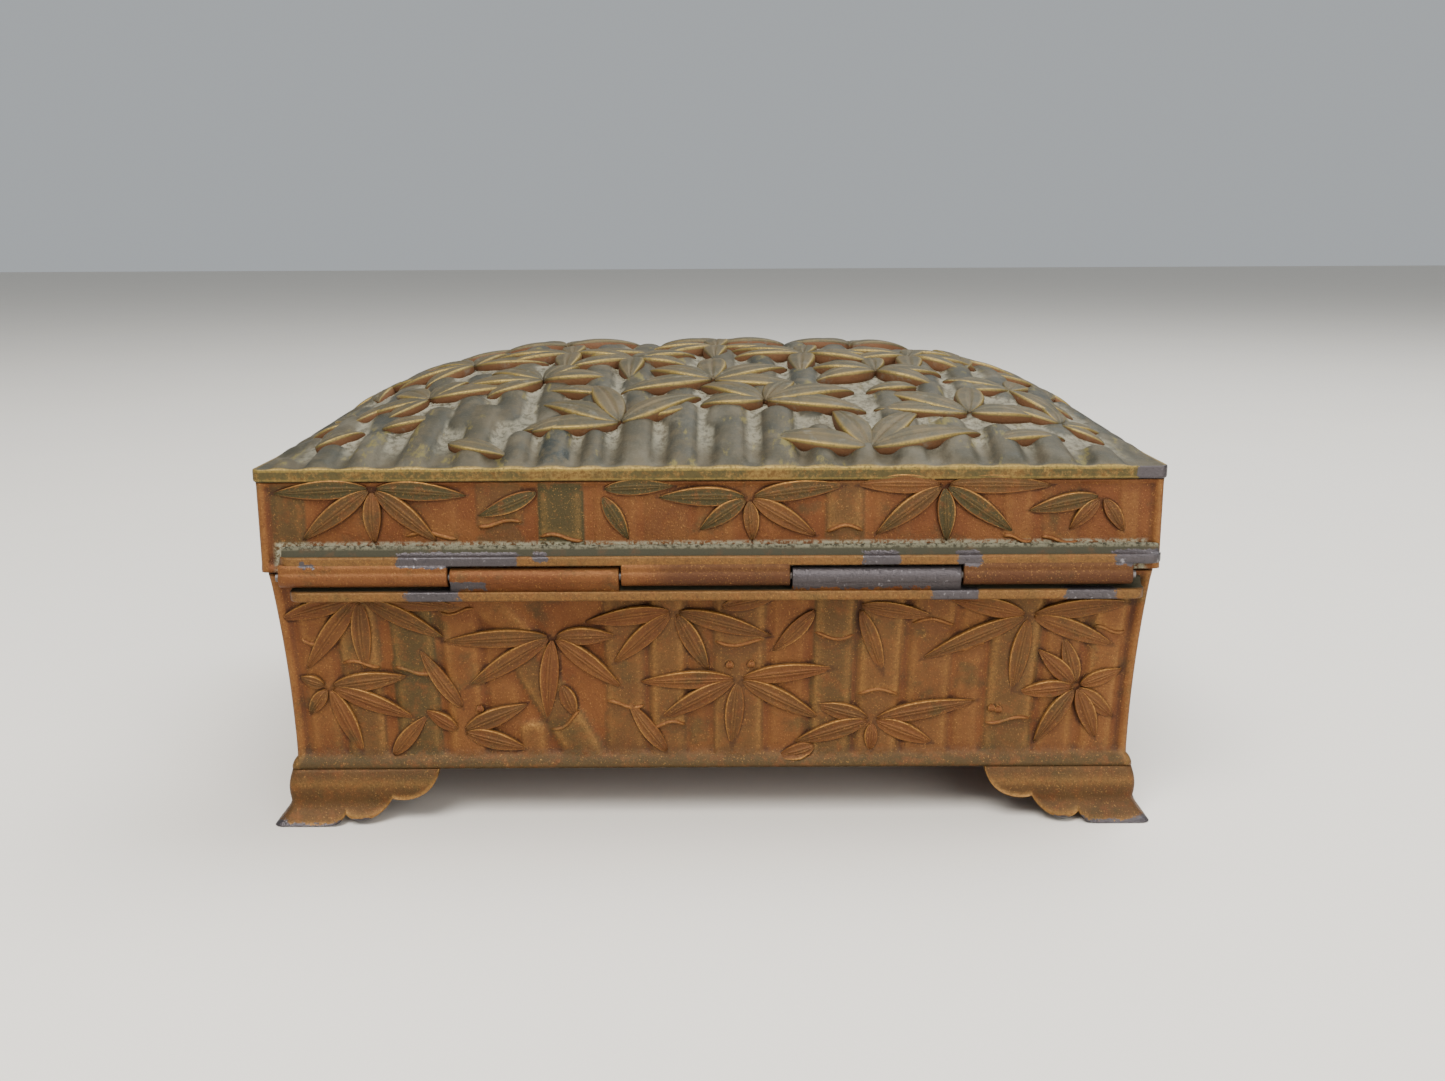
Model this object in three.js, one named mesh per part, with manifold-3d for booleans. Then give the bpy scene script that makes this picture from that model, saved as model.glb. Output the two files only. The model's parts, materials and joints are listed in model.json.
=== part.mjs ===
// A cast-metal vanity trinket box: a domed lid on a five-knuckle hinge, over a flared tub on four
// bracket feet. Millimetres, +Z up. The front faces -Y, the hinge runs along +Y, and the origin is on
// the table under the middle of the box.
import * as THREE from "three";
import { mergeVertices } from "three/addons/utils/BufferGeometryUtils.js";
import Module from "manifold-3d";

const wasm = await Module();
wasm.setup();

// ---------------------------------------------------------------- driving dimensions
const SOLDER = 0.1; // line of solder between two castings
const CORNER_RADIUS = 1; // every casting's upright corners, in plan
const OVERLAP = 0.2; // how far joined shapes run into each other
const CUT_MARGIN = 1; // how far a cutting shape runs past what it cuts

const lid = { halfX: 56, halfY: 40, seatZ: 44.9, seat: 2.4, rimZ: 46.5, rise: 11.5 };
lid.powerX = 4; // the dome's fullness: a higher power is flatter on top and steeper at the rim
lid.powerY = 2.1;
lid.steps = { x: 34, y: 26 };
const band = { halfX: 55.8, halfY: 39.8, bottomZ: 33.55, wall: 1.8, innerRadius: 1 };
const tub = { halfX: 55.2, halfY: 39.2, topZ: 33.2, bottomZ: 7.1, wall: 1.9 };
tub.taper = 1.5; // how far each wall draws in from its top to its bottom
tub.bead = { proud: 0.6, height: 1.4 }; // the small moulding round the bottom edge
tub.steps = 19;

const floor = { bottomZ: 7.4, topZ: 8.9 };
const lining = { thickness: 1.2, glue: 0.15, bottomZ: 9.05, topZ: 32.5, innerRadius: 0.8 };
lining.mitreGap = 0.1; // from each board's cut end to the middle of the mitre
const card = { thickness: 1, clearance: 0.3, cornerRadius: 0.5 };
const floorPad = { thickness: 3, crown: 1.2, bottomZ: 10.2 };
const lidPad = { thickness: 3, crown: 1.2, topZ: 43.5 };
const lidCard = { topZ: 44.7 };
const PAD_SQUARENESS = 6; // power of a pad's crown: flat in the middle, falling near the edges
const PAD_STEPS = 12;

const foot = { halfX: 54.3, halfY: 38.3, height: 7, leg: 18.1, wall: 1.4, web: 1 };
foot.batter = 0.55; // how far the face leans out from its top to the table
foot.toe = 1.35; // how far the toe stands out past that
foot.waist = 2.8; // height where the toe begins
foot.swell = 0.3; // how far the face bulges above the waist
foot.webLeg = 9;
foot.steps = 12;
foot.tread = 3.6; // how much of each leg stands on the table, from the corner
foot.lobes = [ // the scalloped lower edge: each lobe has two curve handles and ends in a point
  { handles: [4.9, 0, 5.8, 0.5], end: [6, 1.3] },
  { handles: [7, 0.3, 10.6, 0.1], end: [12, 3.2] },
  { handles: [13.4, 2.5, 17.4, 3.1], end: [foot.leg, foot.height] },
];

const hinge = { y: band.halfY + 1.35, z: 33.2, barrel: 1.2, bore: 0.6, pin: 0.5 };
hinge.knuckles = 5;
hinge.pitch = 21; // one knuckle and the slit beside it
hinge.slit = 0.28;
hinge.startX = -51.9; // the barrel sits a little to one side, as it was soldered
hinge.lip = 1; // how far each leaf's edge stands out past the axis
hinge.pinProud = 0.35;
hinge.sides = 20;
hinge.leafEndRadius = 1.6;
// Heights of the leaves are from the axis. A neck joins each knuckle to its leaf, from neckFrom to
// neckTo across the axis.
const lidLeaf = { fromX: -55.4, toX: 53, bottom: 1.5, edge: 2.75, top: 3.7 };
lidLeaf.cove = 0.6; // how far the hollow above the edge keeps out from the wall
lidLeaf.neckFrom = -0.9;
lidLeaf.neckTo = hinge.lip;
const tubLeaf = { fromX: -53.5, toX: 52, top: -1.7, edge: -2.95, bottom: -3.4, wallTop: -0.55 };
tubLeaf.scoopTurn = THREE.MathUtils.degToRad(70); // the hollow that the lid's knuckles turn in
tubLeaf.neckFrom = -hinge.barrel;
tubLeaf.neckTo = 0.8;

// ---------------------------------------------------------------- materials
const finish = (color, roughness, metalness) =>
  new THREE.MeshStandardMaterial({ color, roughness, metalness });
const agedGilt = finish(0x9a6a35, 0.55, 0.8);
const darkPatina = finish(0x6b6350, 0.65, 0.7);
const wornMetal = finish(0xa8743a, 0.5, 0.85);
const steel = finish(0x77777c, 0.4, 1);
const velvet = finish(0x5c1522, 0.95, 0);
const paperboard = finish(0xb59c78, 0.9, 0);

// ---------------------------------------------------------------- solids and meshes
function solidOf(geometry) {
  const bare = geometry.clone();
  for (const name of Object.keys(bare.attributes)) {
    if (name !== "position") bare.deleteAttribute(name);
  }
  const merged = mergeVertices(bare, 1e-4);
  return new wasm.Manifold(
    new wasm.Mesh({
      numProp: 3,
      vertProperties: merged.attributes.position.array,
      triVerts: new Uint32Array(merged.index.array),
    }),
  );
}

function geometryOf(solid) {
  const mesh = solid.getMesh();
  const positions = new Float32Array(mesh.numVert * 3);
  for (let i = 0; i < mesh.numVert; i++) {
    const at = i * mesh.numProp;
    positions.set(mesh.vertProperties.subarray(at, at + 3), i * 3);
  }
  const geometry = new THREE.BufferGeometry();
  geometry.setAttribute("position", new THREE.BufferAttribute(positions, 3));
  geometry.setIndex(new THREE.BufferAttribute(mesh.triVerts, 1));
  geometry.computeVertexNormals();
  return geometry;
}

const box = new THREE.Group();
// The hinge stands out at the back, so the box sits a little forward to keep the origin under its middle.
const FRONT_REACH = foot.halfY + foot.batter + foot.toe;
const BACK_REACH = hinge.y + hinge.barrel;
box.position.y = (FRONT_REACH - BACK_REACH) / 2;

function add(name, solid, material) {
  const mesh = new THREE.Mesh(geometryOf(solid), material);
  mesh.name = name;
  box.add(mesh);
}

// Moves every vertex of a geometry: change(point) edits the point in place.
function reshape(geometry, change) {
  const positions = geometry.attributes.position;
  const point = new THREE.Vector3();
  for (let i = 0; i < positions.count; i++) {
    point.fromBufferAttribute(positions, i);
    change(point);
    positions.setXYZ(i, point.x, point.y, point.z);
  }
  return geometry;
}

// ---------------------------------------------------------------- shared shapes
function roundedRectangle(halfX, halfY, radius) {
  const shape = new THREE.Shape();
  shape.absarc(halfX - radius, halfY - radius, radius, 0, Math.PI / 2);
  shape.absarc(radius - halfX, halfY - radius, radius, Math.PI / 2, Math.PI);
  shape.absarc(radius - halfX, radius - halfY, radius, Math.PI, (3 * Math.PI) / 2);
  shape.absarc(halfX - radius, radius - halfY, radius, (3 * Math.PI) / 2, 2 * Math.PI);
  return shape;
}

// A solid standing on a plan shape, from z = from to z = to.
function upright(shape, from, to, steps = 1) {
  const geometry = new THREE.ExtrudeGeometry(shape, {
    depth: to - from,
    steps,
    bevelEnabled: false,
    curveSegments: 5,
  });
  return geometry.translate(0, 0, from);
}

const block = (halfX, halfY, from, to, radius = CORNER_RADIUS) =>
  solidOf(upright(roundedRectangle(halfX, halfY, radius), from, to));

// A rounded block whose walls draw in by inset(z).
function drawnBlock(halfX, halfY, from, to, steps, inset, radius = CORNER_RADIUS) {
  const geometry = upright(roundedRectangle(halfX, halfY, radius), from, to, steps);
  return solidOf(
    reshape(geometry, (p) => {
      const by = inset(p.z);
      p.x -= Math.sign(p.x) * by;
      p.y -= Math.sign(p.y) * by;
    }),
  );
}

// A bar along X with a cross-section drawn in (y, z) about the hinge axis.
function hingeBar(section, fromX, toX) {
  const geometry = new THREE.ExtrudeGeometry(section, {
    depth: toX - fromX,
    bevelEnabled: false,
    curveSegments: 6,
  });
  // Extruded along Z: turn the section's x to Y, its y to Z and the extrusion to X.
  const turn = new THREE.Matrix4().makeBasis(
    new THREE.Vector3(0, 1, 0),
    new THREE.Vector3(0, 0, 1),
    new THREE.Vector3(1, 0, 0),
  );
  geometry.applyMatrix4(turn).translate(fromX, hinge.y, hinge.z);
  return solidOf(geometry);
}

// ---------------------------------------------------------------- tub
const share = (z) => (z - tub.bottomZ) / (tub.topZ - tub.bottomZ);

function tubInset(z) {
  const wall = tub.taper * (1 - share(z) ** 2); // flares more towards the top
  const up = Math.min(1, (z - tub.bottomZ) / tub.bead.height);
  return wall - tub.bead.proud * (1 - up ** 2);
}

const cavityInset = (z) => tub.wall + tub.taper * (1 - share(z));

function makeTub() {
  const below = tub.bottomZ - CUT_MARGIN;
  const above = tub.topZ + CUT_MARGIN;
  const outside = drawnBlock(tub.halfX, tub.halfY, tub.bottomZ, tub.topZ, tub.steps, tubInset);
  const inside = drawnBlock(tub.halfX, tub.halfY, below, above, 1, cavityInset);
  add("tub_walls", outside.subtract(inside), agedGilt);

  const reach = cavityInset(floor.bottomZ) + SOLDER;
  const plate = block(tub.halfX - reach, tub.halfY - reach, floor.bottomZ, floor.topZ);
  add("tub_floor", plate, agedGilt);
}

// Four velvet-covered boards lean on the walls, mitred where they meet.
function makeTubLining() {
  const outside = (z) => cavityInset(z) + lining.glue;
  const inside = (z) => outside(z) + lining.thickness;
  const { bottomZ, topZ, innerRadius } = lining;
  const below = bottomZ - CUT_MARGIN;
  const above = topZ + CUT_MARGIN;
  const ring = drawnBlock(tub.halfX, tub.halfY, bottomZ, topZ, 1, outside).subtract(
    drawnBlock(tub.halfX, tub.halfY, below, above, 1, inside, innerRadius),
  );
  const mitre = tub.halfX - tub.halfY; // both mitres of a side start here on the X axis
  const gap = lining.mitreGap;
  const far = tub.halfX + tub.halfY; // past the ring on every side
  const side = [
    [mitre + gap, 0],
    [mitre + gap + far, far],
    [mitre + gap + far, -far],
  ];
  const back = [
    [gap - mitre, 0],
    [mitre - gap, 0],
    [mitre - gap + far, far],
    [gap - mitre - far, far],
  ];
  const boards = { right: [side, 0], left: [side, Math.PI], back: [back, 0], front: [back, Math.PI] };
  for (const [name, [outline, turn]] of Object.entries(boards)) {
    const shape = new THREE.Shape(outline.map(([x, y]) => new THREE.Vector2(x, y)));
    const wedge = upright(shape, below, above).rotateZ(turn);
    add("lining_" + name, ring.intersect(solidOf(wedge)), velvet);
  }
}

// A padded panel: flat on its card, crowned on its show side. crownUp is 1 or -1.
function pad(halfX, halfY, backZ, thickness, crown, crownUp) {
  const geometry = new THREE.BoxGeometry(2 * halfX, 2 * halfY, 1, PAD_STEPS, PAD_STEPS, 1);
  const across = (v, half) => 1 - Math.abs(v / half) ** PAD_SQUARENESS;
  return solidOf(
    reshape(geometry, (p) => {
      const shown = p.z * crownUp > 0;
      const rise = thickness - crown + crown * across(p.x, halfX) * across(p.y, halfY);
      p.z = backZ + (shown ? crownUp * rise : 0);
    }),
  );
}

function makeTubPad() {
  const reach = cavityInset(floorPad.bottomZ) + lining.glue + lining.thickness + card.clearance;
  const halfX = tub.halfX - reach;
  const halfY = tub.halfY - reach;
  const cardZ = floorPad.bottomZ - SOLDER - card.thickness;
  const board = block(halfX, halfY, cardZ, cardZ + card.thickness, card.cornerRadius);
  add("floor_card", board, paperboard);
  const { bottomZ, thickness, crown } = floorPad;
  add("floor_pad", pad(halfX, halfY, bottomZ, thickness, crown, 1), velvet);
}

// ---------------------------------------------------------------- lid
// The pillow of the dome: 1 in the middle and 0 along the rim.
function pillow(x, y, halfX, halfY) {
  const alongX = 1 - Math.min(1, Math.abs(x / halfX)) ** lid.powerX;
  const alongY = 1 - Math.min(1, Math.abs(y / halfY)) ** lid.powerY;
  return alongX * alongY;
}

function makeLid() {
  const { seat, steps } = lid; // the dome stands on the band on a flat seat, this wide
  const geometry = new THREE.BoxGeometry(2 * lid.halfX, 2 * lid.halfY, 1, steps.x, steps.y, 1);
  reshape(geometry, (p) => {
    const outside = lid.rimZ + lid.rise * pillow(p.x, p.y, lid.halfX, lid.halfY);
    const inside = lid.seatZ + lid.rise * pillow(p.x, p.y, lid.halfX - seat, lid.halfY - seat);
    p.z = p.z > 0 ? outside : inside;
  });
  const above = lid.rimZ + lid.rise + CUT_MARGIN;
  const plan = block(lid.halfX, lid.halfY, lid.seatZ - CUT_MARGIN, above);
  add("lid_dome", solidOf(geometry).intersect(plan), darkPatina);

  const top = lid.seatZ - SOLDER;
  const outside = block(band.halfX, band.halfY, band.bottomZ, top);
  const halfX = band.halfX - band.wall;
  const halfY = band.halfY - band.wall;
  const below = band.bottomZ - CUT_MARGIN;
  const inside = block(halfX, halfY, below, top + CUT_MARGIN, band.innerRadius);
  add("lid_band", outside.subtract(inside), agedGilt);

  const cardX = halfX - card.clearance;
  const cardY = halfY - card.clearance;
  const { topZ } = lidCard;
  const board = block(cardX, cardY, topZ - card.thickness, topZ, card.cornerRadius);
  add("lid_card", board, paperboard);
  add("lid_pad", pad(cardX, cardY, lidPad.topZ, lidPad.thickness, lidPad.crown, -1), velvet);
}

// ---------------------------------------------------------------- hinge
function rectangle(y0, z0, y1, z1) {
  const shape = new THREE.Shape();
  shape.moveTo(y0, z0);
  shape.lineTo(y1, z0);
  shape.lineTo(y1, z1);
  shape.lineTo(y0, z1);
  shape.closePath();
  return shape;
}

// A rod along X, with its flats lined up on every piece of the hinge.
function rod(radius, fromX, toX) {
  const geometry = new THREE.CylinderGeometry(radius, radius, toX - fromX, hinge.sides);
  geometry.rotateZ(Math.PI / 2).translate((fromX + toX) / 2, hinge.y, hinge.z);
  return solidOf(geometry);
}

// Rounds the outer corners of a leaf, seen from above.
function leafPlan(leaf, wallY) {
  const radius = hinge.leafEndRadius;
  const outerY = hinge.y + hinge.lip;
  const innerY = wallY - CUT_MARGIN;
  const shape = new THREE.Shape();
  shape.moveTo(leaf.fromX, innerY);
  shape.lineTo(leaf.toX, innerY);
  shape.absarc(leaf.toX - radius, outerY - radius, radius, 0, Math.PI / 2);
  shape.absarc(leaf.fromX + radius, outerY - radius, radius, Math.PI / 2, Math.PI);
  shape.closePath();
  return solidOf(upright(shape, tub.bottomZ, lid.rimZ));
}

function lidLeafSection(wall) {
  const shape = new THREE.Shape();
  shape.moveTo(wall, lidLeaf.bottom);
  shape.lineTo(hinge.lip, lidLeaf.bottom);
  shape.lineTo(hinge.lip, lidLeaf.edge);
  shape.quadraticCurveTo(wall + lidLeaf.cove, lidLeaf.edge, wall, lidLeaf.top);
  shape.closePath();
  return shape;
}

function tubLeafSection(wall) {
  const shape = new THREE.Shape();
  shape.moveTo(wall, tubLeaf.bottom);
  shape.lineTo(hinge.lip, tubLeaf.edge);
  shape.lineTo(hinge.lip, tubLeaf.top);
  shape.absarc(0, 0, -tubLeaf.top, -Math.PI / 2, -Math.PI / 2 - tubLeaf.scoopTurn, true);
  shape.lineTo(wall, tubLeaf.wallTop);
  shape.closePath();
  return shape;
}

function makeHinge() {
  const lidWall = band.halfY - hinge.y + SOLDER;
  const tubWall = tub.halfY - hinge.y + SOLDER;
  const endX = hinge.startX + hinge.knuckles * hinge.pitch;
  const bore = rod(hinge.bore, hinge.startX - CUT_MARGIN, endX + CUT_MARGIN);

  let upper = hingeBar(lidLeafSection(lidWall), lidLeaf.fromX, lidLeaf.toX);
  let lower = hingeBar(tubLeafSection(tubWall), tubLeaf.fromX, tubLeaf.toX);
  upper = upper.intersect(leafPlan(lidLeaf, band.halfY));
  lower = lower.intersect(leafPlan(tubLeaf, tub.halfY));

  for (let i = 0; i < hinge.knuckles; i++) {
    const fromX = hinge.startX + i * hinge.pitch + hinge.slit / 2;
    const toX = fromX + hinge.pitch - hinge.slit;
    const barrel = rod(hinge.barrel, fromX, toX);
    const ofLid = i % 2 === 0;
    const neck = ofLid
      ? rectangle(lidLeaf.neckFrom, 0, lidLeaf.neckTo, lidLeaf.bottom + OVERLAP)
      : rectangle(tubLeaf.neckFrom, tubLeaf.top - OVERLAP, tubLeaf.neckTo, 0);
    const knuckle = barrel.add(hingeBar(neck, fromX, toX)).subtract(bore);
    if (ofLid) upper = upper.add(knuckle);
    else lower = lower.add(knuckle);
  }
  add("lid_hinge_leaf", upper, wornMetal);
  add("tub_hinge_leaf", lower, wornMetal);
  const { pin, pinProud } = hinge;
  add("hinge_pin", rod(pin, hinge.startX - pinProud, endX + pinProud), steel);
}

// ---------------------------------------------------------------- feet
// How far the foot's face stands out at a height: swelling at the top, then sweeping out to the toe.
function ogee(z) {
  const up = Math.max(0, z - foot.waist) / (foot.height - foot.waist);
  const lean = foot.batter * (1 - z / foot.height);
  const swell = foot.swell * Math.sin(Math.PI * up);
  const toe = foot.toe * Math.max(0, 1 - z / foot.waist) ** 2;
  return lean + swell + toe;
}

// One leg's scalloped outline: s runs in from the corner along the leg, and z up.
function scallops() {
  const outside = -foot.batter - foot.toe - CUT_MARGIN;
  const above = foot.height + CUT_MARGIN;
  const shape = new THREE.Shape();
  shape.moveTo(outside, above);
  shape.lineTo(outside, -CUT_MARGIN);
  shape.lineTo(foot.tread, -CUT_MARGIN);
  shape.lineTo(foot.tread, 0);
  for (const { handles, end } of foot.lobes) shape.bezierCurveTo(...handles, ...end);
  shape.lineTo(foot.leg, above);
  shape.closePath();
  return shape;
}

function makeFoot() {
  const { halfX, halfY, leg, wall, height, webLeg } = foot;
  const over = leg + foot.batter + foot.toe + CUT_MARGIN; // longer than the leg, because the outline trims it
  const angle = new THREE.Shape(); // the two walls, seen from above, outer corner at (halfX, halfY)
  angle.moveTo(halfX - over, halfY);
  angle.lineTo(halfX - over, halfY - wall);
  angle.lineTo(halfX - wall, halfY - wall);
  angle.lineTo(halfX - wall, halfY - over);
  angle.lineTo(halfX, halfY - over);
  angle.absarc(halfX - CORNER_RADIUS, halfY - CORNER_RADIUS, CORNER_RADIUS, 0, Math.PI / 2);
  angle.closePath();
  const walls = solidOf(
    reshape(upright(angle, 0, height, foot.steps), (p) => {
      const out = ogee(p.z);
      p.x += out;
      p.y += out;
    }),
  );

  // The same outline trims both legs: one seen along Y, the other along X.
  const outline = new THREE.ExtrudeGeometry(scallops(), {
    depth: 2 * over,
    bevelEnabled: false,
    curveSegments: 8,
  });
  const alongX = new THREE.Matrix4().makeBasis(
    new THREE.Vector3(-1, 0, 0),
    new THREE.Vector3(0, 0, 1),
    new THREE.Vector3(0, 1, 0),
  );
  const alongY = new THREE.Matrix4().makeBasis(
    new THREE.Vector3(0, -1, 0),
    new THREE.Vector3(0, 0, 1),
    new THREE.Vector3(-1, 0, 0),
  );
  const trimX = outline.clone().applyMatrix4(alongX).translate(halfX, halfY - over, 0);
  const trimY = outline.clone().applyMatrix4(alongY).translate(halfX + over, halfY, 0);
  const trimmed = walls.intersect(solidOf(trimX)).intersect(solidOf(trimY));

  // A thin web across the inside corner gives the solder something to hold.
  const inner = new THREE.Shape();
  const cornerX = halfX - wall + OVERLAP;
  const cornerY = halfY - wall + OVERLAP;
  inner.moveTo(cornerX, cornerY);
  inner.lineTo(cornerX - webLeg, cornerY);
  inner.lineTo(cornerX, cornerY - webLeg);
  inner.closePath();
  return trimmed.add(solidOf(upright(inner, height - foot.web, height)));
}

function makeFeet() {
  const one = makeFoot();
  const corners = { back_right: [1, 1], back_left: [-1, 1], front_right: [1, -1], front_left: [-1, -1] };
  for (const [name, [x, y]] of Object.entries(corners)) {
    const turned = x * y > 0 ? one : one.mirror([1, 0, 0]); // now at (x * y, 1)
    const placed = y > 0 ? turned : turned.rotate([0, 0, 180]);
    add("foot_" + name, placed, agedGilt);
  }
}

makeTub();
makeTubLining();
makeTubPad();
makeLid();
makeHinge();
makeFeet();

export default box;
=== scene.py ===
import json
import math

import bmesh
import bpy
import numpy as np
from mathutils import Euler, Matrix, Vector


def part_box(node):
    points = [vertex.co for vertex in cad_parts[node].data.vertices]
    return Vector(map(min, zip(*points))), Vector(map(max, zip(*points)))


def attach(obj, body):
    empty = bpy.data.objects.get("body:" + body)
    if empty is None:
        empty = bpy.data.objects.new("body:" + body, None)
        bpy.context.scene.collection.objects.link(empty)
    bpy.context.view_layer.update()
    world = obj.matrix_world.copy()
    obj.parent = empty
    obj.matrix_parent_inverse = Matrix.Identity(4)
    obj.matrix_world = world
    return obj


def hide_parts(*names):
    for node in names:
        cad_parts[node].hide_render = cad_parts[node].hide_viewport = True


# A cast-metal vanity trinket box. Shapes are worked out in millimetres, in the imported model's frame,
# and turned into metres when a mesh is made.
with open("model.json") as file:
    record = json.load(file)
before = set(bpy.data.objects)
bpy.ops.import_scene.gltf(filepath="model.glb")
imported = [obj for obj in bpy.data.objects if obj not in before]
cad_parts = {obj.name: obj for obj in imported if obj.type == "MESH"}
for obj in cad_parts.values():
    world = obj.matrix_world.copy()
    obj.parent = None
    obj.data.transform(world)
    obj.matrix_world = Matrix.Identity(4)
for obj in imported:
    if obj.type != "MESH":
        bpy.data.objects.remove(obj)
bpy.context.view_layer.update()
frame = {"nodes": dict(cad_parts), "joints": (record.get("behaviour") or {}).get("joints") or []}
MM = 0.001


def box_mm(node):
    """Lowest and highest corner of a CAD node, in millimetres."""
    return [np.array(corner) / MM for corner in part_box(node)]


# ---------------------------------------------------------------- sizes and colours
DOME_LOW, DOME_HIGH = box_mm("lid_dome")
BAND_LOW, BAND_HIGH = box_mm("lid_band")
TUB_LOW, TUB_HIGH = box_mm("tub_walls")
FOOT_LOW, FOOT_HIGH = box_mm("foot_back_left")
CENTRE_Y = (DOME_LOW[1] + DOME_HIGH[1]) / 2
JOINT = frame["joints"][0]
AXIS_Y, AXIS_Z = JOINT["pos_m"][1] / MM, JOINT["pos_m"][2] / MM

TUB_TOP = TUB_HIGH[2] - TUB_LOW[2]
BAND_TOP = BAND_HIGH[2] - BAND_LOW[2]
DOME_HALF = (DOME_HIGH[:2] - DOME_LOW[:2]) / 2
FOOT_HEIGHT = FOOT_HIGH[2] - FOOT_LOW[2]

CORNER_RADIUS = 1.0  # of every casting's upright corners, in plan
RIM_HEIGHT = 1.6  # the plain rim under the dome
RIM_Z = DOME_LOW[2] + RIM_HEIGHT
DOME_POWERS = (4, 2.1)  # fullness of the pillow's curve along the box and across it
DOME_SEAT = 2.4  # width of the flat ring that the dome sits on
BAND_WALL = 1.8
TUB_WALL = 1.9
TUB_TAPER = 1.5  # how far the tub draws in towards its bottom
BEAD_PROUD, BEAD_HEIGHT = 0.6, 1.4  # the moulding round the tub's bottom edge

GROUND = -0.5  # level of the relief's background, from the CAD's surface
SINK = -1.0  # level of the leaves' undersides
WALL_LEAF, DOME_LEAF = 1.0, 1.75  # height of a leaf above the background
CANE_RISE = 1.15  # height of a cane on the dome
CORNER_PROUD = 0.1  # the walls' upright corners are plain raised strips
QUIET = 0.75  # how strongly the canes' own edges are worn, and their hollows darkened with crease colour and painted shade
SHADED = 0.75  # how dark the background is painted beside a leaf: painted shadow, with some dirt
STAINED = 0.95  # how strong the canes' stain is
CORNER_WEAR, LIP_WEAR = 0.25, 0.3
BARE_CORNER_X, BARE_CORNER_DEPTH = 52.1, 0.6  # the corner of the rim that has lost its gilt
GRID = 0.35  # spacing of the background's points
LEAF_STEPS = 20  # cross-sections along a leaf
SEED = 11

FOOT_WALL = 1.4
FOOT_BATTER, FOOT_SWELL = 0.55, 0.3  # how far its face leans and bulges
FOOT_TOE, FOOT_WAIST = 1.35, 2.8  # how far the toe sweeps out, and the height where it begins
FOOT_EDGE = 0.4  # thickness of the toe's upright edge
FOOT_TREAD = 3.6  # length of each leg that stands on the ground
FOOT_LEG = 18.1  # length of each leg along the wall
WEB_LEG, WEB_THICK = 9.0, 1.0  # the three-cornered plate in the angle of a foot

BARREL = 1.2  # radius of the hinge's knuckles
KNUCKLES = 5
PITCH, SLIT = 21, 0.28  # from one knuckle to the next, and the gap between them
BARREL_FROM = -51.9
HINGE_LIP = 1.0  # how far a leaf's lip stands out from the axis
LID_LEAF_X, TUB_LEAF_X = (-55.4, 53), (-53.5, 52)  # where the leaves begin and end
COVE_TOP = 3.7  # the top of the lid's leaf, above the axis
LEAF_END = 1.6  # radius of a leaf's outer corners, seen from above

PAD_SHRINK = 0.5  # a pad starts this much smaller all round, because it swells
PAD_VOXEL, LINING_VOXEL = 1.1, 0.55
PAD_CAP = 0.6  # how far the simulation may move a point
PAD_PRESSURE = 4
PAD_FRAMES = 20
BOARD_WAVE = 0.05  # how uneven the velvet boards are

CAMERA_X = -1.5
CAMERA_BACK = 169.2  # behind the lid's hinge side
CAMERA_Z = 74.2
CAMERA_PITCH, CAMERA_ROLL = 12.27, 0.27

# Name, place in metres, size, power and colour of each light.
LIGHTS = [("window", (0.2, 0.5, 0.75), 0.5, 12.5, (1, 0.98, 0.95)),
          ("overhead", (-0.3, -0.2, 0.8), 0.6, 9, (0.95, 0.98, 1)),
          ("fill", (-0.4, 0.7, 0.3), 0.6, 5.6, (1, 0.98, 0.95))]
LIT_POINT = (0, 0, 0.03)
SKY_STRENGTH = 0.5
FLOOR_REACH = 3.0  # in metres

# Colours.
GILT, GILT_WARM = (0.126, 0.047, 0.0145), (0.104, 0.035, 0.0115)
GILT_BRIGHT = (0.36, 0.185, 0.05)
# The crease colour is the red-brown of the casting's creases, and is also laid on as painted shade in the
# hollows and beside the leaves.
CREASE_BROWN_AND_SHADE = (0.03, 0.011, 0.005)
OLIVE = (0.038, 0.03, 0.011)
CRUST = (0.23, 0.215, 0.145)
GREEN_DIRT = (0.036, 0.033, 0.019)
# The glint colour is a painted glint, laid in bright specks on the bare metal.
BARE_METAL, PIT, PAINTED_GLINT = (0.062, 0.054, 0.056), (0.03, 0.026, 0.028), (0.3, 0.28, 0.29)
PATINA, PATINA_DARK = (0.066, 0.054, 0.033), (0.045, 0.04, 0.026)
FILM, FINGERED = (0.13, 0.118, 0.088), (0.024, 0.027, 0.023)
OCHRE, POWDER, SPECK = (0.13, 0.105, 0.03), (0.27, 0.25, 0.185), (0.13, 0.11, 0.075)
RIM_BROWN, RIM_GOLD, RIM_CORRODED = (0.08, 0.038, 0.011), (0.17, 0.104, 0.032), (0.042, 0.034, 0.012)
LEAF, LEAF_DARK, LEAF_GREY = (0.078, 0.061, 0.034), (0.052, 0.046, 0.029), (0.12, 0.115, 0.09)
# The leaves' flank colour is red-brown, laid on as their colour and as painted shade.
BROWN_FLANK_AND_SHADE, DULL_GOLD, LEAF_SPECK = (0.13, 0.06, 0.029), (0.25, 0.172, 0.044), (0.2, 0.13, 0.045)
VELVET, VELVET_RUBBED, PILE = (0.145, 0.015, 0.026), (0.185, 0.023, 0.035), (0.3, 0.05, 0.065)
BOARD, BOARD_DARK, FIBRE = (0.42, 0.3, 0.18), (0.34, 0.24, 0.14), (0.5, 0.4, 0.27)
STEEL, STEEL_DARK, RUST = (0.14, 0.13, 0.125), (0.09, 0.07, 0.055), (0.14, 0.08, 0.05)
FLOOR, FLOOR_DARK, SKY = (0.72, 0.68, 0.62), (0.69, 0.65, 0.59), (0.86, 0.91, 0.95, 1)
DULLNESS = 0.22  # specular level of the old lacquer


# ---------------------------------------------------------------- small tools
def smooth_step(x):
    t = np.clip(x, 0, 1)
    return t * t * (3 - 2 * t)


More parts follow.
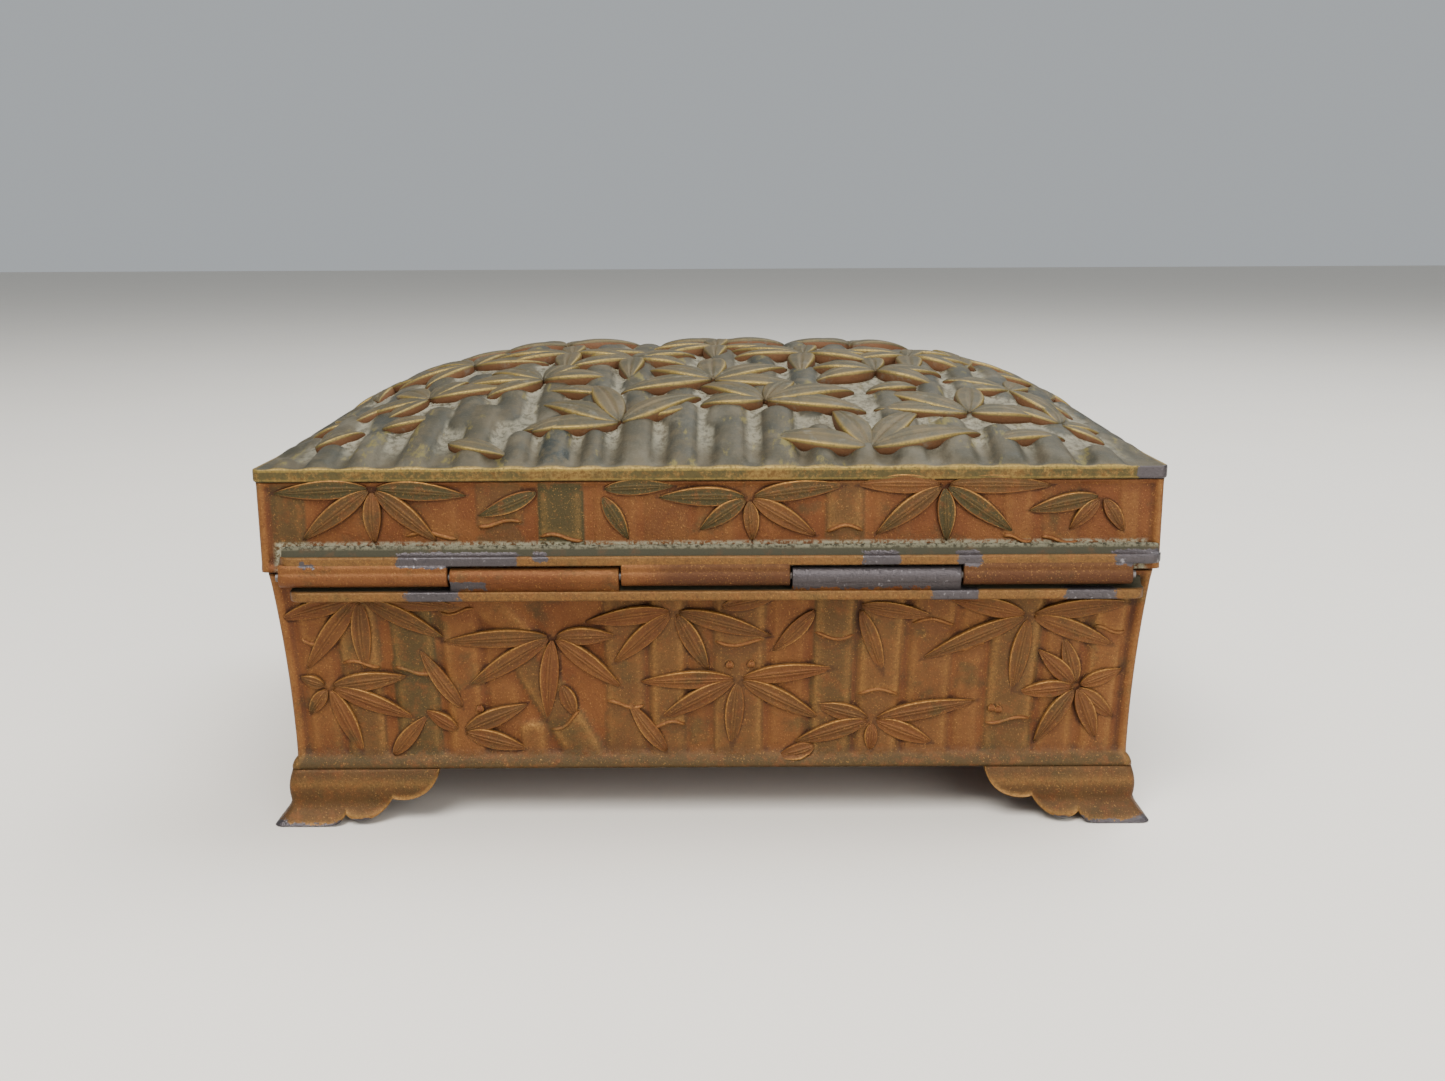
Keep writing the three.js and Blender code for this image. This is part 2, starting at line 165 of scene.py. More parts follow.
def blurred(field, passes, wrap):
    """A few rounds of averaging with the neighbours. wrap says that the columns close on themselves."""
    out = field.copy()
    for _ in range(passes):
        padded = np.pad(out, ((1, 1), (0, 0)), mode="edge")
        padded = np.pad(padded, ((0, 0), (1, 1)), mode="wrap" if wrap else "edge")
        across = padded[:, :-2] + 2 * padded[:, 1:-1] + padded[:, 2:]
        out = (across[:-2] + 2 * across[1:-1] + across[2:]) / 16
    return out


def grid_faces(rows, columns, wrap):
    """Quads between the points of a grid, numbered row by row."""
    across = np.arange(columns if wrap else columns - 1)
    beside = (across + 1) % columns
    faces = []
    for row in range(rows - 1):
        low, high = row * columns, (row + 1) * columns
        faces.append(np.stack([low + across, low + beside, high + beside, high + across], axis=1))
    return np.concatenate(faces)


def tube_faces(rows, columns):
    """The faces of a tube with closed ends."""
    faces = grid_faces(rows, columns, wrap=True).tolist()
    faces.append(list(range(columns)))
    faces.append([(rows - 1) * columns + i for i in range(columns)])
    return faces


def add_object(name, data):
    added = bpy.data.objects.new(name, data)
    bpy.context.scene.collection.objects.link(added)
    return added


def make_piece(name, points, faces, attributes):
    """A smooth-shaded object from points in millimetres. attributes holds one number per point."""
    mesh = bpy.data.meshes.new(name)
    mesh.from_pydata((np.asarray(points) * MM).tolist(), [], [list(face) for face in faces])
    for key, values in attributes.items():
        layer = mesh.attributes.new(key, "FLOAT", "POINT")
        layer.data.foreach_set("value", np.asarray(values, np.float32))
    piece = add_object(name, mesh)
    face_outwards(mesh)
    mesh.shade_smooth()
    return piece


def face_outwards(mesh):
    shape = bmesh.new()
    shape.from_mesh(mesh)
    bmesh.ops.recalc_face_normals(shape, faces=shape.faces)
    shape.to_mesh(mesh)
    shape.free()


def settle(piece, body, slot, material, *nodes):
    """Gives a piece its material and the body that it moves with, and hides the CAD nodes that it stands for.
    """
    piece.data.materials.clear()
    piece.data.materials.append(material)
    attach(piece, body)
    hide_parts(*nodes)
    return piece


# ---------------------------------------------------------------- rounded rectangles in plan
class Outline:
    """A rounded rectangle in plan, walked anticlockwise from the middle of its back side."""

    def __init__(self, low, high):
        self.half = (np.array(high[:2]) - np.array(low[:2])) / 2
        self.core = self.half - CORNER_RADIUS
        self.quarter = math.pi * CORNER_RADIUS / 2
        side = self.core[0] + self.quarter + self.core[1]
        self.length = 4 * side
        self.middles = {"back": 0, "left": side, "front": 2 * side, "right": 3 * side}
        self.facing = {"back": (0, 1), "left": (-1, 0), "front": (0, -1), "right": (1, 0)}

    def along(self, s, face):
        """Distance from the middle of a face, left of it below zero, seen from outside."""
        return (s - self.middles[face] + self.length / 2) % self.length - self.length / 2

    def reach(self, face):
        """Half the straight part of a face."""
        return self.core[0] if face in ("back", "front") else self.core[1]

    def walk(self, s):
        """For each distance: the point that the corner arcs turn about, and the outward normal."""
        s = np.asarray(s, float)
        centre = np.zeros(s.shape + (2,))
        normal = np.zeros(s.shape + (2,))
        for face, facing in self.facing.items():
            out = np.array(facing, float)
            ahead = np.array([-out[1], out[0]])
            reach = self.reach(face)
            depth = self.core.sum() - reach
            along = self.along(s, face)
            here = np.abs(along) <= reach + self.quarter / 2 + 1e-9
            u = along[here]
            angle = np.sign(u) * np.maximum(0, np.abs(u) - reach) / CORNER_RADIUS
            straight = np.clip(u, -reach, reach)
            centre[here] = straight[:, None] * ahead + depth * out
            normal[here] = np.cos(angle)[:, None] * out + np.sin(angle)[:, None] * ahead
        return centre, normal

    def at(self, s, z, inset, relief, tilt):
        """Points at a distance round, a height, an inset of the wall and a relief height off it."""
        centre, normal = self.walk(s)
        inset = np.asarray(inset)[..., None]
        shrink = (self.core - inset) / self.core
        lean = 1 / np.sqrt(1 + np.asarray(tilt) ** 2)
        out = CORNER_RADIUS + np.asarray(relief) * lean
        flat = centre * shrink + normal * out[..., None]
        flat[..., 1] += CENTRE_Y
        height = z + relief * np.asarray(tilt) * lean
        return np.concatenate([flat, np.asarray(height)[..., None]], axis=-1)


def tub_inset(z):
    share = (z - TUB_LOW[2]) / (TUB_HIGH[2] - TUB_LOW[2])
    up = np.minimum(1, (z - TUB_LOW[2]) / BEAD_HEIGHT)
    return TUB_TAPER * (1 - share**2) - BEAD_PROUD * (1 - up**2)


def tub_cavity(z):
    share = (z - TUB_LOW[2]) / (TUB_HIGH[2] - TUB_LOW[2])
    return TUB_WALL + TUB_TAPER * (1 - share)


def slope(inset, z):
    step = 0.05
    return (inset(z + step) - inset(z - step)) / (2 * step)


# ---------------------------------------------------------------- the dome's surface
def dome_height(x, y, rim_z, half_x, half_y):
    """Height of the pillow at a point in plan, measured from the box's middle."""
    over_x = np.minimum(1, np.abs(x / half_x)) ** DOME_POWERS[0]
    over_y = np.minimum(1, np.abs(y / half_y)) ** DOME_POWERS[1]
    rise = DOME_HIGH[2] - DOME_LOW[2] - RIM_HEIGHT
    return rim_z + rise * (1 - over_x) * (1 - over_y)


def dome_point(u, w, relief):
    """A point on the dome. u runs right and w runs away, as seen from the hinge side."""
    x, y = -np.asarray(u, float), -np.asarray(w, float)
    step = 0.05
    z = dome_height(x, y, RIM_Z, *DOME_HALF)
    slope_x = (dome_height(x + step, y, RIM_Z, *DOME_HALF) - z) / step
    slope_y = (dome_height(x, y + step, RIM_Z, *DOME_HALF) - z) / step
    normal = np.stack([-slope_x, -slope_y, np.ones_like(z)], axis=-1)
    normal /= np.linalg.norm(normal, axis=-1, keepdims=True)
    base = np.stack([x, y + CENTRE_Y, z], axis=-1)
    return base + normal * np.asarray(relief)[..., None]


# ---------------------------------------------------------------- bamboo leaves
# Across a form, from one edge to the middle: place, height, wear and how much it lies in shade.
WALL_SECTION = [(1, -1, 0, 1), (0.99, 0.35, 0.1, 1), (0.95, 0.8, 0.9, 0), (0.88, 0.9, 0.8, 0),
                (0.78, 0.81, 0.1, 0), (0.5, 0.94, 0, 0), (0.33, 0.85, 0, 0), (0.26, 0.97, 0.12, 0),
                (0.1, 1, 0.15, 0), (0, 0.84, 0, 0.6)]
DOME_SECTION = [(1, -1, 0, 1), (1, 0.3, 0, 1), (0.985, 0.66, 0.1, 0.9), (0.95, 0.82, 0.8, 0.1),
                (0.87, 0.92, 0.85, 0), (0.78, 0.95, 0.3, 0), (0.62, 0.95, 0, 0), (0.35, 0.99, 0, 0),
                (0.13, 1, 0.15, 0), (0, 0.86, 0, 0.7)]
RIDGE_SECTION = [(1, -1, 0, 0.6), (0.95, 0.1, 0, 0.6), (0.75, 0.55, 0, 0.2), (0.4, 0.9, 0.15, 0),
                 (0, 1, 0.3, 0)]


def swept_shell(path, side, reach, top, section, tilt, place):
    """A closed form that runs along a path on a surface and is sunk into it: points, faces and, for each
    column, its place across, wear and shade. side and reach hold the way and distance to its edge at each
    step, and top its height."""
    half = section + [(-place_across, *rest) for place_across, *rest in reversed(section[:-1])]
    across, high, wear, shade = (np.array(column, float) for column in zip(*half))
    flat = path[:, None, :] + side[:, None, :] * reach[:, None, None] * across[None, :, None]
    relief = np.where(high < 0, SINK, GROUND + top[:, None] * np.maximum(0, high) * (1 + tilt * across))
    points = place(flat[..., 0], flat[..., 1], relief)
    rows, columns = relief.shape
    return points.reshape(-1, 3), tube_faces(rows, columns), across, wear, shade


def leaf_shape(t):
    """Half width of a leaf along its length, as a share: widest before the middle, pointed at the tip."""
    return np.sin(math.pi * np.clip(t, 0, 1) ** 0.8) ** 0.85


class Leaf:
    def __init__(self, u, v, angle, length, width=2.5, bend=0.0, tilt=0.0, height=1.0, stain=0.8):
        self.start = np.array([u, v], float)
        self.way = np.array([math.cos(math.radians(angle)), math.sin(math.radians(angle))])
        self.side = np.array([-self.way[1], self.way[0]])
        self.length, self.width = length, width
        self.bend, self.tilt, self.height, self.stain = bend, tilt, height, stain

    def spine(self, t):
        t = np.asarray(t)[..., None]
        return self.start + self.way * t * self.length + self.side * self.bend * self.length * t * (1 - t)

    def shell(self, place, full_height, section):
        """The leaf as a closed form: points, faces and layers of values."""
        t = np.linspace(0.015, 0.99, LEAF_STEPS)
        arch = np.sin(math.pi * (0.08 + 0.92 * t**0.9)) ** 0.45
        reach = 0.5 * self.width * leaf_shape(t) + 0.03
        side = np.broadcast_to(self.side, (LEAF_STEPS, 2))
        points, faces, across, wear, hollow = swept_shell(
            self.spine(t), side, reach, full_height * self.height * arch, section, self.tilt, place)
        fade = (0.55 + 0.45 * np.sin(math.pi * t))[:, None]
        rubbed = np.clip(0.62 + 0.42 * np.sign(self.tilt) * across, 0.2, 1)  # more on the higher edge
        olive = np.where(np.abs(across) < 0.85, self.stain, 0.0)
        layers = {"wear": wear * rubbed * fade, "hollow": hollow + 0 * fade, "stain": olive + 0 * fade}
        return points, faces, {key: value.ravel() for key, value in layers.items()}

    def cover(self, u, v):
        """How much of the background at (u, v) this leaf shades: 1 under it, fading out beside it."""
        du, dv = u - self.start[0], v - self.start[1]
        t = (du * self.way[0] + dv * self.way[1]) / self.length
        bow = self.bend * self.length * t * (1 - t)
        off = np.abs(du * self.side[0] + dv * self.side[1] - bow)
        edge = 0.5 * self.width * leaf_shape(t)
        inside = (t > -0.03) & (t < 1.03)
        return np.where(inside, smooth_step(1 - (off - edge) / 0.5), 0)


def spray(u, v, *leaves, width=2.5, fuller=0.0, stem=0.5, bend=0.05, tilt=0.14, height=1.0, stain=0.3):
    """Leaves (angle, length) that fan out from round one point, at a distance of stem. Those that point
    left are bowed and tilted the other way. fuller is how much wider the upright ones are."""
    made = []
    for i, (angle, length) in enumerate(leaves):
        way = math.radians(angle)
        side = 1 if math.cos(way) > 0 else -1
        rank = height * (1 - 0.07 * (i % 3))  # so that overlapping leaves lie at different heights
        uneven_stain = stain * (1 + 0.6 * math.sin(3 * u + 5 * i))
        broad = width * (1 + fuller * abs(math.sin(way))) * min(1, 0.4 + 0.07 * length)
        made.append(Leaf(u + stem * math.cos(way), v + stem * math.sin(way), angle, length - stem, broad,
                         bend * side, tilt * side, rank, uneven_stain))
    return made


def dome_spray(u, w, *leaves, width=3.2):
    """A spray on the dome, whose leaves are a little higher on the side nearer the foot of the dome. The
    relief is shallower towards the dome's two ends."""
    tilt = -0.08 if w < 0 else 0.08
    height = 1 - 0.35 * smooth_step((abs(u) - 24) / 20)
    return spray(u, w, *leaves, width=width, fuller=0.2, stem=0.15, bend=0.07, tilt=tilt, height=height,
                 stain=0)


def joined(shells):
    """The points, faces and layers of many closed forms as one."""
    points, faces, layers = [], [], []
    count = 0
    for p, f, values in shells:
        points.append(p)
        faces += [[i + count for i in face] for face in f]
        layers.append(values)
        count += len(p)
    return np.concatenate(points), faces, {key: np.concatenate([values[key] for values in layers])
                                           for key in layers[0]}


# ---------------------------------------------------------------- bamboo canes
class Cane:
    """A flat-topped length of bamboo from one point to another, with raised node lines across it."""

    def __init__(self, u0, v0, u1, v1, width, nodes=(), height=0.34, stain=0.0):
        self.start = np.array([u0, v0], float)
        way = np.array([u1 - u0, v1 - v0], float)
        self.length = float(np.linalg.norm(way))
        self.way = way / self.length
        self.side = np.array([-self.way[1], self.way[0]])
        self.width, self.nodes, self.height, self.stain = width, nodes, height, stain

    def raise_on(self, u, v):
        du, dv = u - self.start[0], v - self.start[1]
        along = du * self.way[0] + dv * self.way[1]
        across = du * self.side[0] + dv * self.side[1]
        half = self.width / 2
        shoulder = 0.45
        inside = np.clip(across / half, -1, 1) ** 2
        cap = 0.7 * half * (1 - np.sqrt(1 - inside))  # the ends are rounded like a finger's
        sides = smooth_step((half - np.abs(across)) / shoulder)
        ends = smooth_step((along - cap) / shoulder) * smooth_step((self.length - along - cap) / shoulder)
        top = self.height * (0.6 + 0.4 * (1 - inside))
        for node in self.nodes:
            below = np.maximum(0, node + self.wave(across, node) - along)
            top = top - 0.16 * smooth_step(below / 0.5) * np.exp(-below / 3.5)
        return sides * ends * np.maximum(0, top)

    def wave(self, across, node):
        """How far a node line bends along the cane, on its way across."""
        return 0.42 * np.sin(5.4 * across / self.width + 1.3 * node)

    def node_lines(self, place, highest):
        """A thin raised line for each node that lies on the wall."""
        made = []
        across = np.linspace(-0.46, 0.46, 15) * self.width
        for node in self.nodes:
            along = node + self.wave(across, node)
            path = self.start + along[:, None] * self.way + across[:, None] * self.side
            if not (0.8 < path[:, 1].min() and path[:, 1].max() < highest):
                continue
            thin = np.sqrt(np.maximum(0.05, 1 - (across / across[-1]) ** 6))
            way = np.broadcast_to(self.way, path.shape)
            points, faces, _, wear, hollow = swept_shell(path, way, 0.38 * thin, (self.height + 0.2) * thin,
                                                         RIDGE_SECTION, 0, place)
            layers = {"wear": wear + 0 * path[:, :1], "hollow": hollow + 0 * path[:, :1]}
            layers["stain"] = 0 * layers["wear"]
            made.append((points, faces, {key: value.ravel() for key, value in layers.items()}))
        return made


def upright_canes(u_from, u_to, top, rng, height=0.34):
    """Canes side by side along a wall, each as wide as a finger of bamboo, with a node or two."""
    canes = []
    u = u_from
    while u < u_to - 2.5:
        width = min(rng.uniform(4.2, 6.8), u_to - u)
        nodes = sorted(rng.uniform(2, top - 2, 1 if rng.random() < 0.6 else 2) + 1)
        lean = rng.uniform(-0.4, 0.4)
        canes.append(Cane(u + width / 2 - lean, -1, u + width / 2 + lean, top + 1, width - 0.3, nodes,
                          height * rng.uniform(0.5, 1.1), rng.uniform(0, 0.7)))
        u += width
    return canes


def lay_out(U, V, canes, leaves):
    """The background's height above its lowest level, the canes' stain and the leaves' shade."""
    height, stain, shade = (np.zeros_like(U) for _ in range(3))
    for cane in canes:
        here = cane.raise_on(U, V)
        stain = np.where(here > height, cane.stain, stain)
        height = np.maximum(height, here)
    for leaf in leaves:
        shade = np.maximum(shade, leaf.cover(U, V))
    return height, stain, shade


# ---------------------------------------------------------------- what is on each face
def tub_back_leaves():
    made = []
    for u, v, *fan in [
            (-44.4, 23, (196, 11), (230, 12.7), (267, 10.2), (331, 11.5), (353, 12.6)),
            (-20.4, 17.6, (183, 14.2), (211, 13.5), (264, 11.4), (321, 11.2), (0, 8.2)),
            (-4.7, 21, (188, 11.5), (222, 10.8), (298, 9.3), (344, 13)),
            (-50, 11, (7, 10.4), (338, 11.7), (292, 10.2), (233, 4.8), (161, 3.8)),
            (-33.1, 4.8, (22, 9.6), (344, 9), (148, 5.4)),
            (3.5, 11.8, (182, 12.9), (208, 12), (265, 9.5), (333, 12.2), (6, 12.7)),
            (21.1, 6.2, (197, 10.7), (270, 4.5), (338, 9), (10, 13.9), (165, 7.8)),
            (40.5, 20.2, (204, 14.7), (264, 10.7), (340, 12.3), (168, 10.8), (7, 13)),
            (47.7, 10.6, (186, 7.7), (138, 7.3), (110, 7), (237, 9.2), (320, 6.8), (21, 6.2), (293, 8))]:
        made += spray(u, v, *fan)
    for u, v, angle, length in [(-32.7, 8, 122, 9.4), (-42.3, 1.6, 48, 7.2), (-5.9, 1.9, 126, 8.6),
                                (-19.5, 11, 290, 4.6), (19, 21.6, 350, 9.7), (19, 21, 291, 9.6),
                                (13.2, 20.9, 226, 7.6), (1.3, 21.4, 11, 7.4), (13.6, 2.6, 196, 5)]:
        made.append(Leaf(u, v, angle, length, 2.1, 0.05, 0.1, 0.85, 0.3))
    for u, v in [(36.8, 7.2), (37.7, 7), (2.4, 13.2), (5.2, 13.3), (-30.4, 7.4)]:
        made.append(Leaf(u, v, 90, 1.1, 1, stain=0))  # buds
    return made


def tub_back_canes():
    made = [Cane(u, -1, u + 0.3, TUB_TOP + 1, width, [node + 1], height, stain)
            for u, width, node, height, stain in [
                (-51, 4.4, 17, 0.27, 0.1), (-45.6, 5.4, 14, 0.46, 0.6), (-38.6, 5.8, 13, 0.32, 0.9),
                (-32.4, 5, 21, 0.41, 0.1), (-27.4, 4.4, 7.4, 0.22, 0.1), (-11.4, 5.4, 8.3, 0.3, 0.5),
                (-5.8, 5, 5.6, 0.46, 0.5), (-1.6, 3.4, -4, 0.19, 0.2), (3.4, 7, 16.7, 0.49, 0.5),
                (9.8, 4.8, -4, 0.22, 0.1), (15.6, 5.6, 17.5, 0.46, 0.7), (21.7, 6, 9.9, 0.51, 0.4),
                (28.2, 6, 19.3, 0.38, 0.3), (33.4, 3.8, 16, 0.22, 0.2), (39, 6.6, 6, 0.49, 0.6),
                (45.2, 5, -4, 0.3, 0.2), (50.8, 4.6, 18.2, 0.41, 0.1)]]
    made.append(Cane(-32.6, 26.4, -20.4, 13, 4.2, [], 0.42, 0.1))
    made.append(Cane(-24.7, 16, -15.3, -1, 5.2, [11.4], 0.46, 0.6))
    made.append(Cane(-23.6, -1, -23.6, 6.3, 4, [], 0.4, 0.3))
    return made


def band_back_leaves():
    made = []
    for u, v, width, fan in [
            (-41.5, 10.5, 2.5, [(183, 12.2), (216, 11), (270, 7), (319, 10.2), (355, 11.6)]),
            (4.8, 9.2, 2.5, [(180, 11.2), (214, 7.4), (274, 5.6), (329, 9.7), (7, 12)]),
            (28.8, 10.7, 2.5, [(180, 10.9), (217, 10.5), (273, 7.2), (325, 10.5), (359, 13.2)]),
            (48.2, 9.2, 2.3, [(192, 9.3), (228, 5.8), (302, 5.4)])]:
        made += spray(u, v, *fan, width=width, stain=0.75)
    for u, v, angle, length in [(-21.3, 9.9, 202, 7.9), (-13.2, 9.3, 300, 6.2), (-13, 10.3, 2, 8.6)]:
        made.append(Leaf(u, v, angle, length, 2.1, 0.05, 0.1, 0.85, 1.2))
    return made


def other_leaves(half, top, rng, spacing, lowest):
    """Sprays for a face that follows the pattern: staggered high and low, each leaf kept on the face."""
    made = []
    count = max(2, round(2 * half / spacing))
    for i in range(count):
        u = -half + (i + 0.5) * 2 * half / count + rng.uniform(-1.5, 1.5)
        v = lowest + (top - lowest) * (0.78 if i % 2 == 0 else 0.42) + rng.uniform(-1, 1)
        for angle in (182, 216, 270, 324, 358):
            turned = math.radians(angle + rng.uniform(-9, 9))
            length = rng.uniform(9, 12.6)
            for direction, low, high in ((math.cos(turned), -half - u, half - u),
                                         (math.sin(turned), 0.6 - v, top - 0.8 - v)):
                if abs(direction) > 0.05:
                    length = min(length, max(low / direction, high / direction))
            if length > 4:
                made += spray(u, v, (math.degrees(turned), length), width=rng.uniform(2.5, 3))
    return made


def dome_near_leaves():
    """The sprays on the half of the dome beside the hinge."""
    made = []
    for u, w, width, *fan in [
            (-11.4, -32, 3.2, (113, 10.9), (155, 11.8), (184, 12.6), (33, 12.2)),
            (7.1, -27, 3.2, (152, 9.7), (183, 8.5), (56, 7.3), (15, 12.4), (351, 13.3)),
            (19.8, -37, 3.2, (170, 13.1), (117, 9), (49, 10.6), (15, 15)),
            (33.4, -28.8, 3.2, (80, 8.8), (157, 11.6), (178, 12.4), (9, 9.3)),
            (0.3, -21, 3.4, (90, 9), (27, 11.5), (351, 12.4), (156, 9.8), (194, 12.6)),
            (-22.4, -20.4, 3.2, (5, 9), (178, 11.5), (205, 8), (150, 9), (50, 7)),
            (-37.4, -22.6, 3.2, (6, 12.3), (185, 9), (218, 6.5), (135, 8), (50, 7)),
            (-47.4, -24.5, 2.8, (182, 5.5), (30, 8.5), (250, 7), (120, 6)),
            (-33.5, -9.5, 3.2, (190, 11), (225, 8.5), (350, 11), (140, 9), (60, 8)),
            (-19.6, -8.6, 3.2, (176, 12), (195, 10), (0, 12.4), (340, 10), (268, 8), (90, 7)),
            (-10.6, -12.5, 3.2, (268, 7.5), (196, 10), (158, 9), (18, 9), (342, 8)),
            (0.8, -4.4, 3.2, (186, 10), (210, 9.5), (352, 10), (90, 8), (268, 7)),
            (13, -9.8, 3.2, (163, 11), (183, 10), (4, 11), (340, 10.5), (265, 8.5), (80, 7)),
            (22.4, -17.5, 3.2, (172, 9), (200, 9), (10, 9.5), (335, 8.5), (90, 6)),
            (27.8, -9, 3.2, (172, 10.5), (200, 9), (10, 10.5), (335, 8.5), (268, 8), (70, 7)),
            (40.5, -18, 3.2, (180, 9), (205, 8), (340, 9), (310, 9.5), (60, 7)),
            (45.4, -28, 2.8, (160, 8.5), (10, 6), (330, 6), (100, 6)),
            (36, -2.5, 3.2, (190, 9.5), (350, 10), (270, 7), (110, 8)),
            (47, -7, 3.2, (200, 9), (330, 6), (100, 7), (270, 7)),
            (-46.6, -7, 3.2, (340, 9), (210, 6), (90, 7), (270, 6))]:
        made += dome_spray(u, w, *fan, width=width)
    for u, w, angle, length in [(35.4, -35, 14, 10), (-32.7, -35.5, 344, 8.1), (-13.2, -25, 170, 9),
                                (-50, -33, 30, 6.5), (-3, -28.6, 200, 6), (27.4, -22.5, 190, 7),
                                (-22.5, -33.5, 20, 6.5), (-42, -30.5, 12, 7)]:
        side = 1 if math.cos(math.radians(angle)) > 0 else -1
        made.append(Leaf(u, w, angle, length, 2.3, 0.05 * side, -0.08 * side, 0.8, 0))
    return made


def dome_far_leaves(rng):
    """The half that faces the front follows the same pattern."""
    end_u, end_w = 53, 38.5  # no leaf goes past these
    made = []
    for row, w in enumerate((7, 19, 31)):
        for column in range(5):
            u = -40 + 20 * column + (10 if row % 2 else 0) + rng.uniform(-2, 2)
            if abs(u) > end_u - 6:
                continue
            turn = rng.uniform(-12, 12)
            fan = [(angle + turn, rng.uniform(8.5, 12)) for angle in (5, 42, 92, 140, 178)]
            kept = []
            for angle, length in fan:
                across, away = math.cos(math.radians(angle)), math.sin(math.radians(angle))
                reach_w = (end_w - w) / max(0.05, away)
                length = min(length, reach_w)
                if u * across > 0:
                    length = min(length, (end_u - abs(u)) / max(0.05, abs(across)))
                if length > 4.5:
                    kept.append((angle, length))
            made += dome_spray(u, w, *kept)
    return made


def dome_canes(rng):
    """Fingers of cane standing on the rim, and columns of shorter pieces that overlap between the leaves."""
    edge_w, edge_u = 43, 59
    gap = 1.2
    made = [Cane(u, -edge_w, u + lean, -37 + length, pitch - gap, (), CANE_RISE, stain)
            for u, pitch, lean, length, stain in [
                (-53, 4, 0.6, 1, 0.2), (-48.3, 5, 0.8, 4, 0.5), (-43, 5, 0.6, 6, 0.2),
                (-37.2, 5.4, 2.2, 11, 0.4), (-29.8, 5.2, 1, 10.5, 0.1), (-24.4, 4.6, 0.8, 4, 0.4),
                (-19.4, 5, 0.4, 7, 1), (-14.6, 4.2, 0.2, 4, 0.4), (-9.2, 5.6, 0, 7, 0.1),
                (-3.6, 5.2, 0.3, 10, 0.5), (2.4, 5.6, 0.2, 10, 0.3), (8.6, 5.8, 0, 9, 0.4),
                (14, 4.8, -0.2, 5, 0.2), (19.2, 4.8, -0.3, 3, 0.1), (25, 5.4, -0.4, 7.5, 0.2),
                (31.2, 5.6, -0.8, 7, 0.1), (37.2, 5.4, -0.8, 6, 0.4), (43.2, 5.6, -1, 5, 0.1),
                (49.4, 5.6, -1, 3, 0.3)]]
    for u in np.arange(-51, 52, 5.6):
        made.append(Cane(u, edge_w, u + rng.uniform(-1, 1), 37 - rng.uniform(4, 9),
                         rng.uniform(4.8, 5.4) - gap, (), CANE_RISE, rng.uniform(0, 0.8)))
    for w in np.arange(-28, 29, 5.6):
        for side in (-1, 1):
            made.append(Cane(side * edge_u, w, side * (53 - rng.uniform(2, 5)), w + rng.uniform(-1, 1),
                             rng.uniform(4.6, 5.2) - gap, (), 0.7 * CANE_RISE, rng.uniform(0, 0.8)))
    overlap = 1.6
    for u in np.arange(-48, 49, 5.5):
        w = rng.uniform(-33, -29)
        while w < 30:
            length = rng.uniform(6, 12)
            lean = rng.uniform(-0.7, 0.7)
            if rng.random() > 0.12:  # the pieces left out make pockets
                made.append(Cane(u - lean, w, u + lean, w + length, rng.uniform(4.9, 5.4) - gap, (),
                                 CANE_RISE * rng.uniform(0.45, 0.95), rng.uniform(0, 0.8)))
            w += length - overlap
    return made


# ---------------------------------------------------------------- castings with relief
def relief_layers(height, wrap):
    """What stands out from its surroundings and what lies deeper than they do, in a field of heights."""
    around = blurred(height, 6, wrap)
    return np.clip((height - around) * 7, 0, 1), np.clip((around - height) * 6, 0, 1)


def padded_layers(count, **layers):
    """Layers of values with as many zeros after them as there are plain points."""
    return {key: np.concatenate([values.ravel(), np.zeros(count)]) for key, values in layers.items()}


def plain_rings(outline, s, low_z, high_z, inset, inner_inset):
    """From a wall's outer top edge over the rim, down the inside and back under the wall."""
    edge = 0.22
    steps = [(high_z - 0.06, edge), (high_z, 2 * edge), (high_z, inner_inset(high_z) - 2 * edge),
             (high_z - 0.06, inner_inset(high_z) - edge), (high_z - 2 * edge, inner_inset(high_z))]
    for share in np.linspace(0.9, 0.1, 5):
        z = low_z + share * (high_z - low_z)
        steps.append((z, inner_inset(z)))
    steps += [(low_z + edge, inner_inset(low_z)), (low_z, inner_inset(low_z) - edge),
              (low_z, float(inset(low_z)) + edge)]
    flat = np.zeros_like(s)
    return [outline.at(s, np.full_like(s, z), np.full_like(s, i), flat, flat) for z, i in steps]


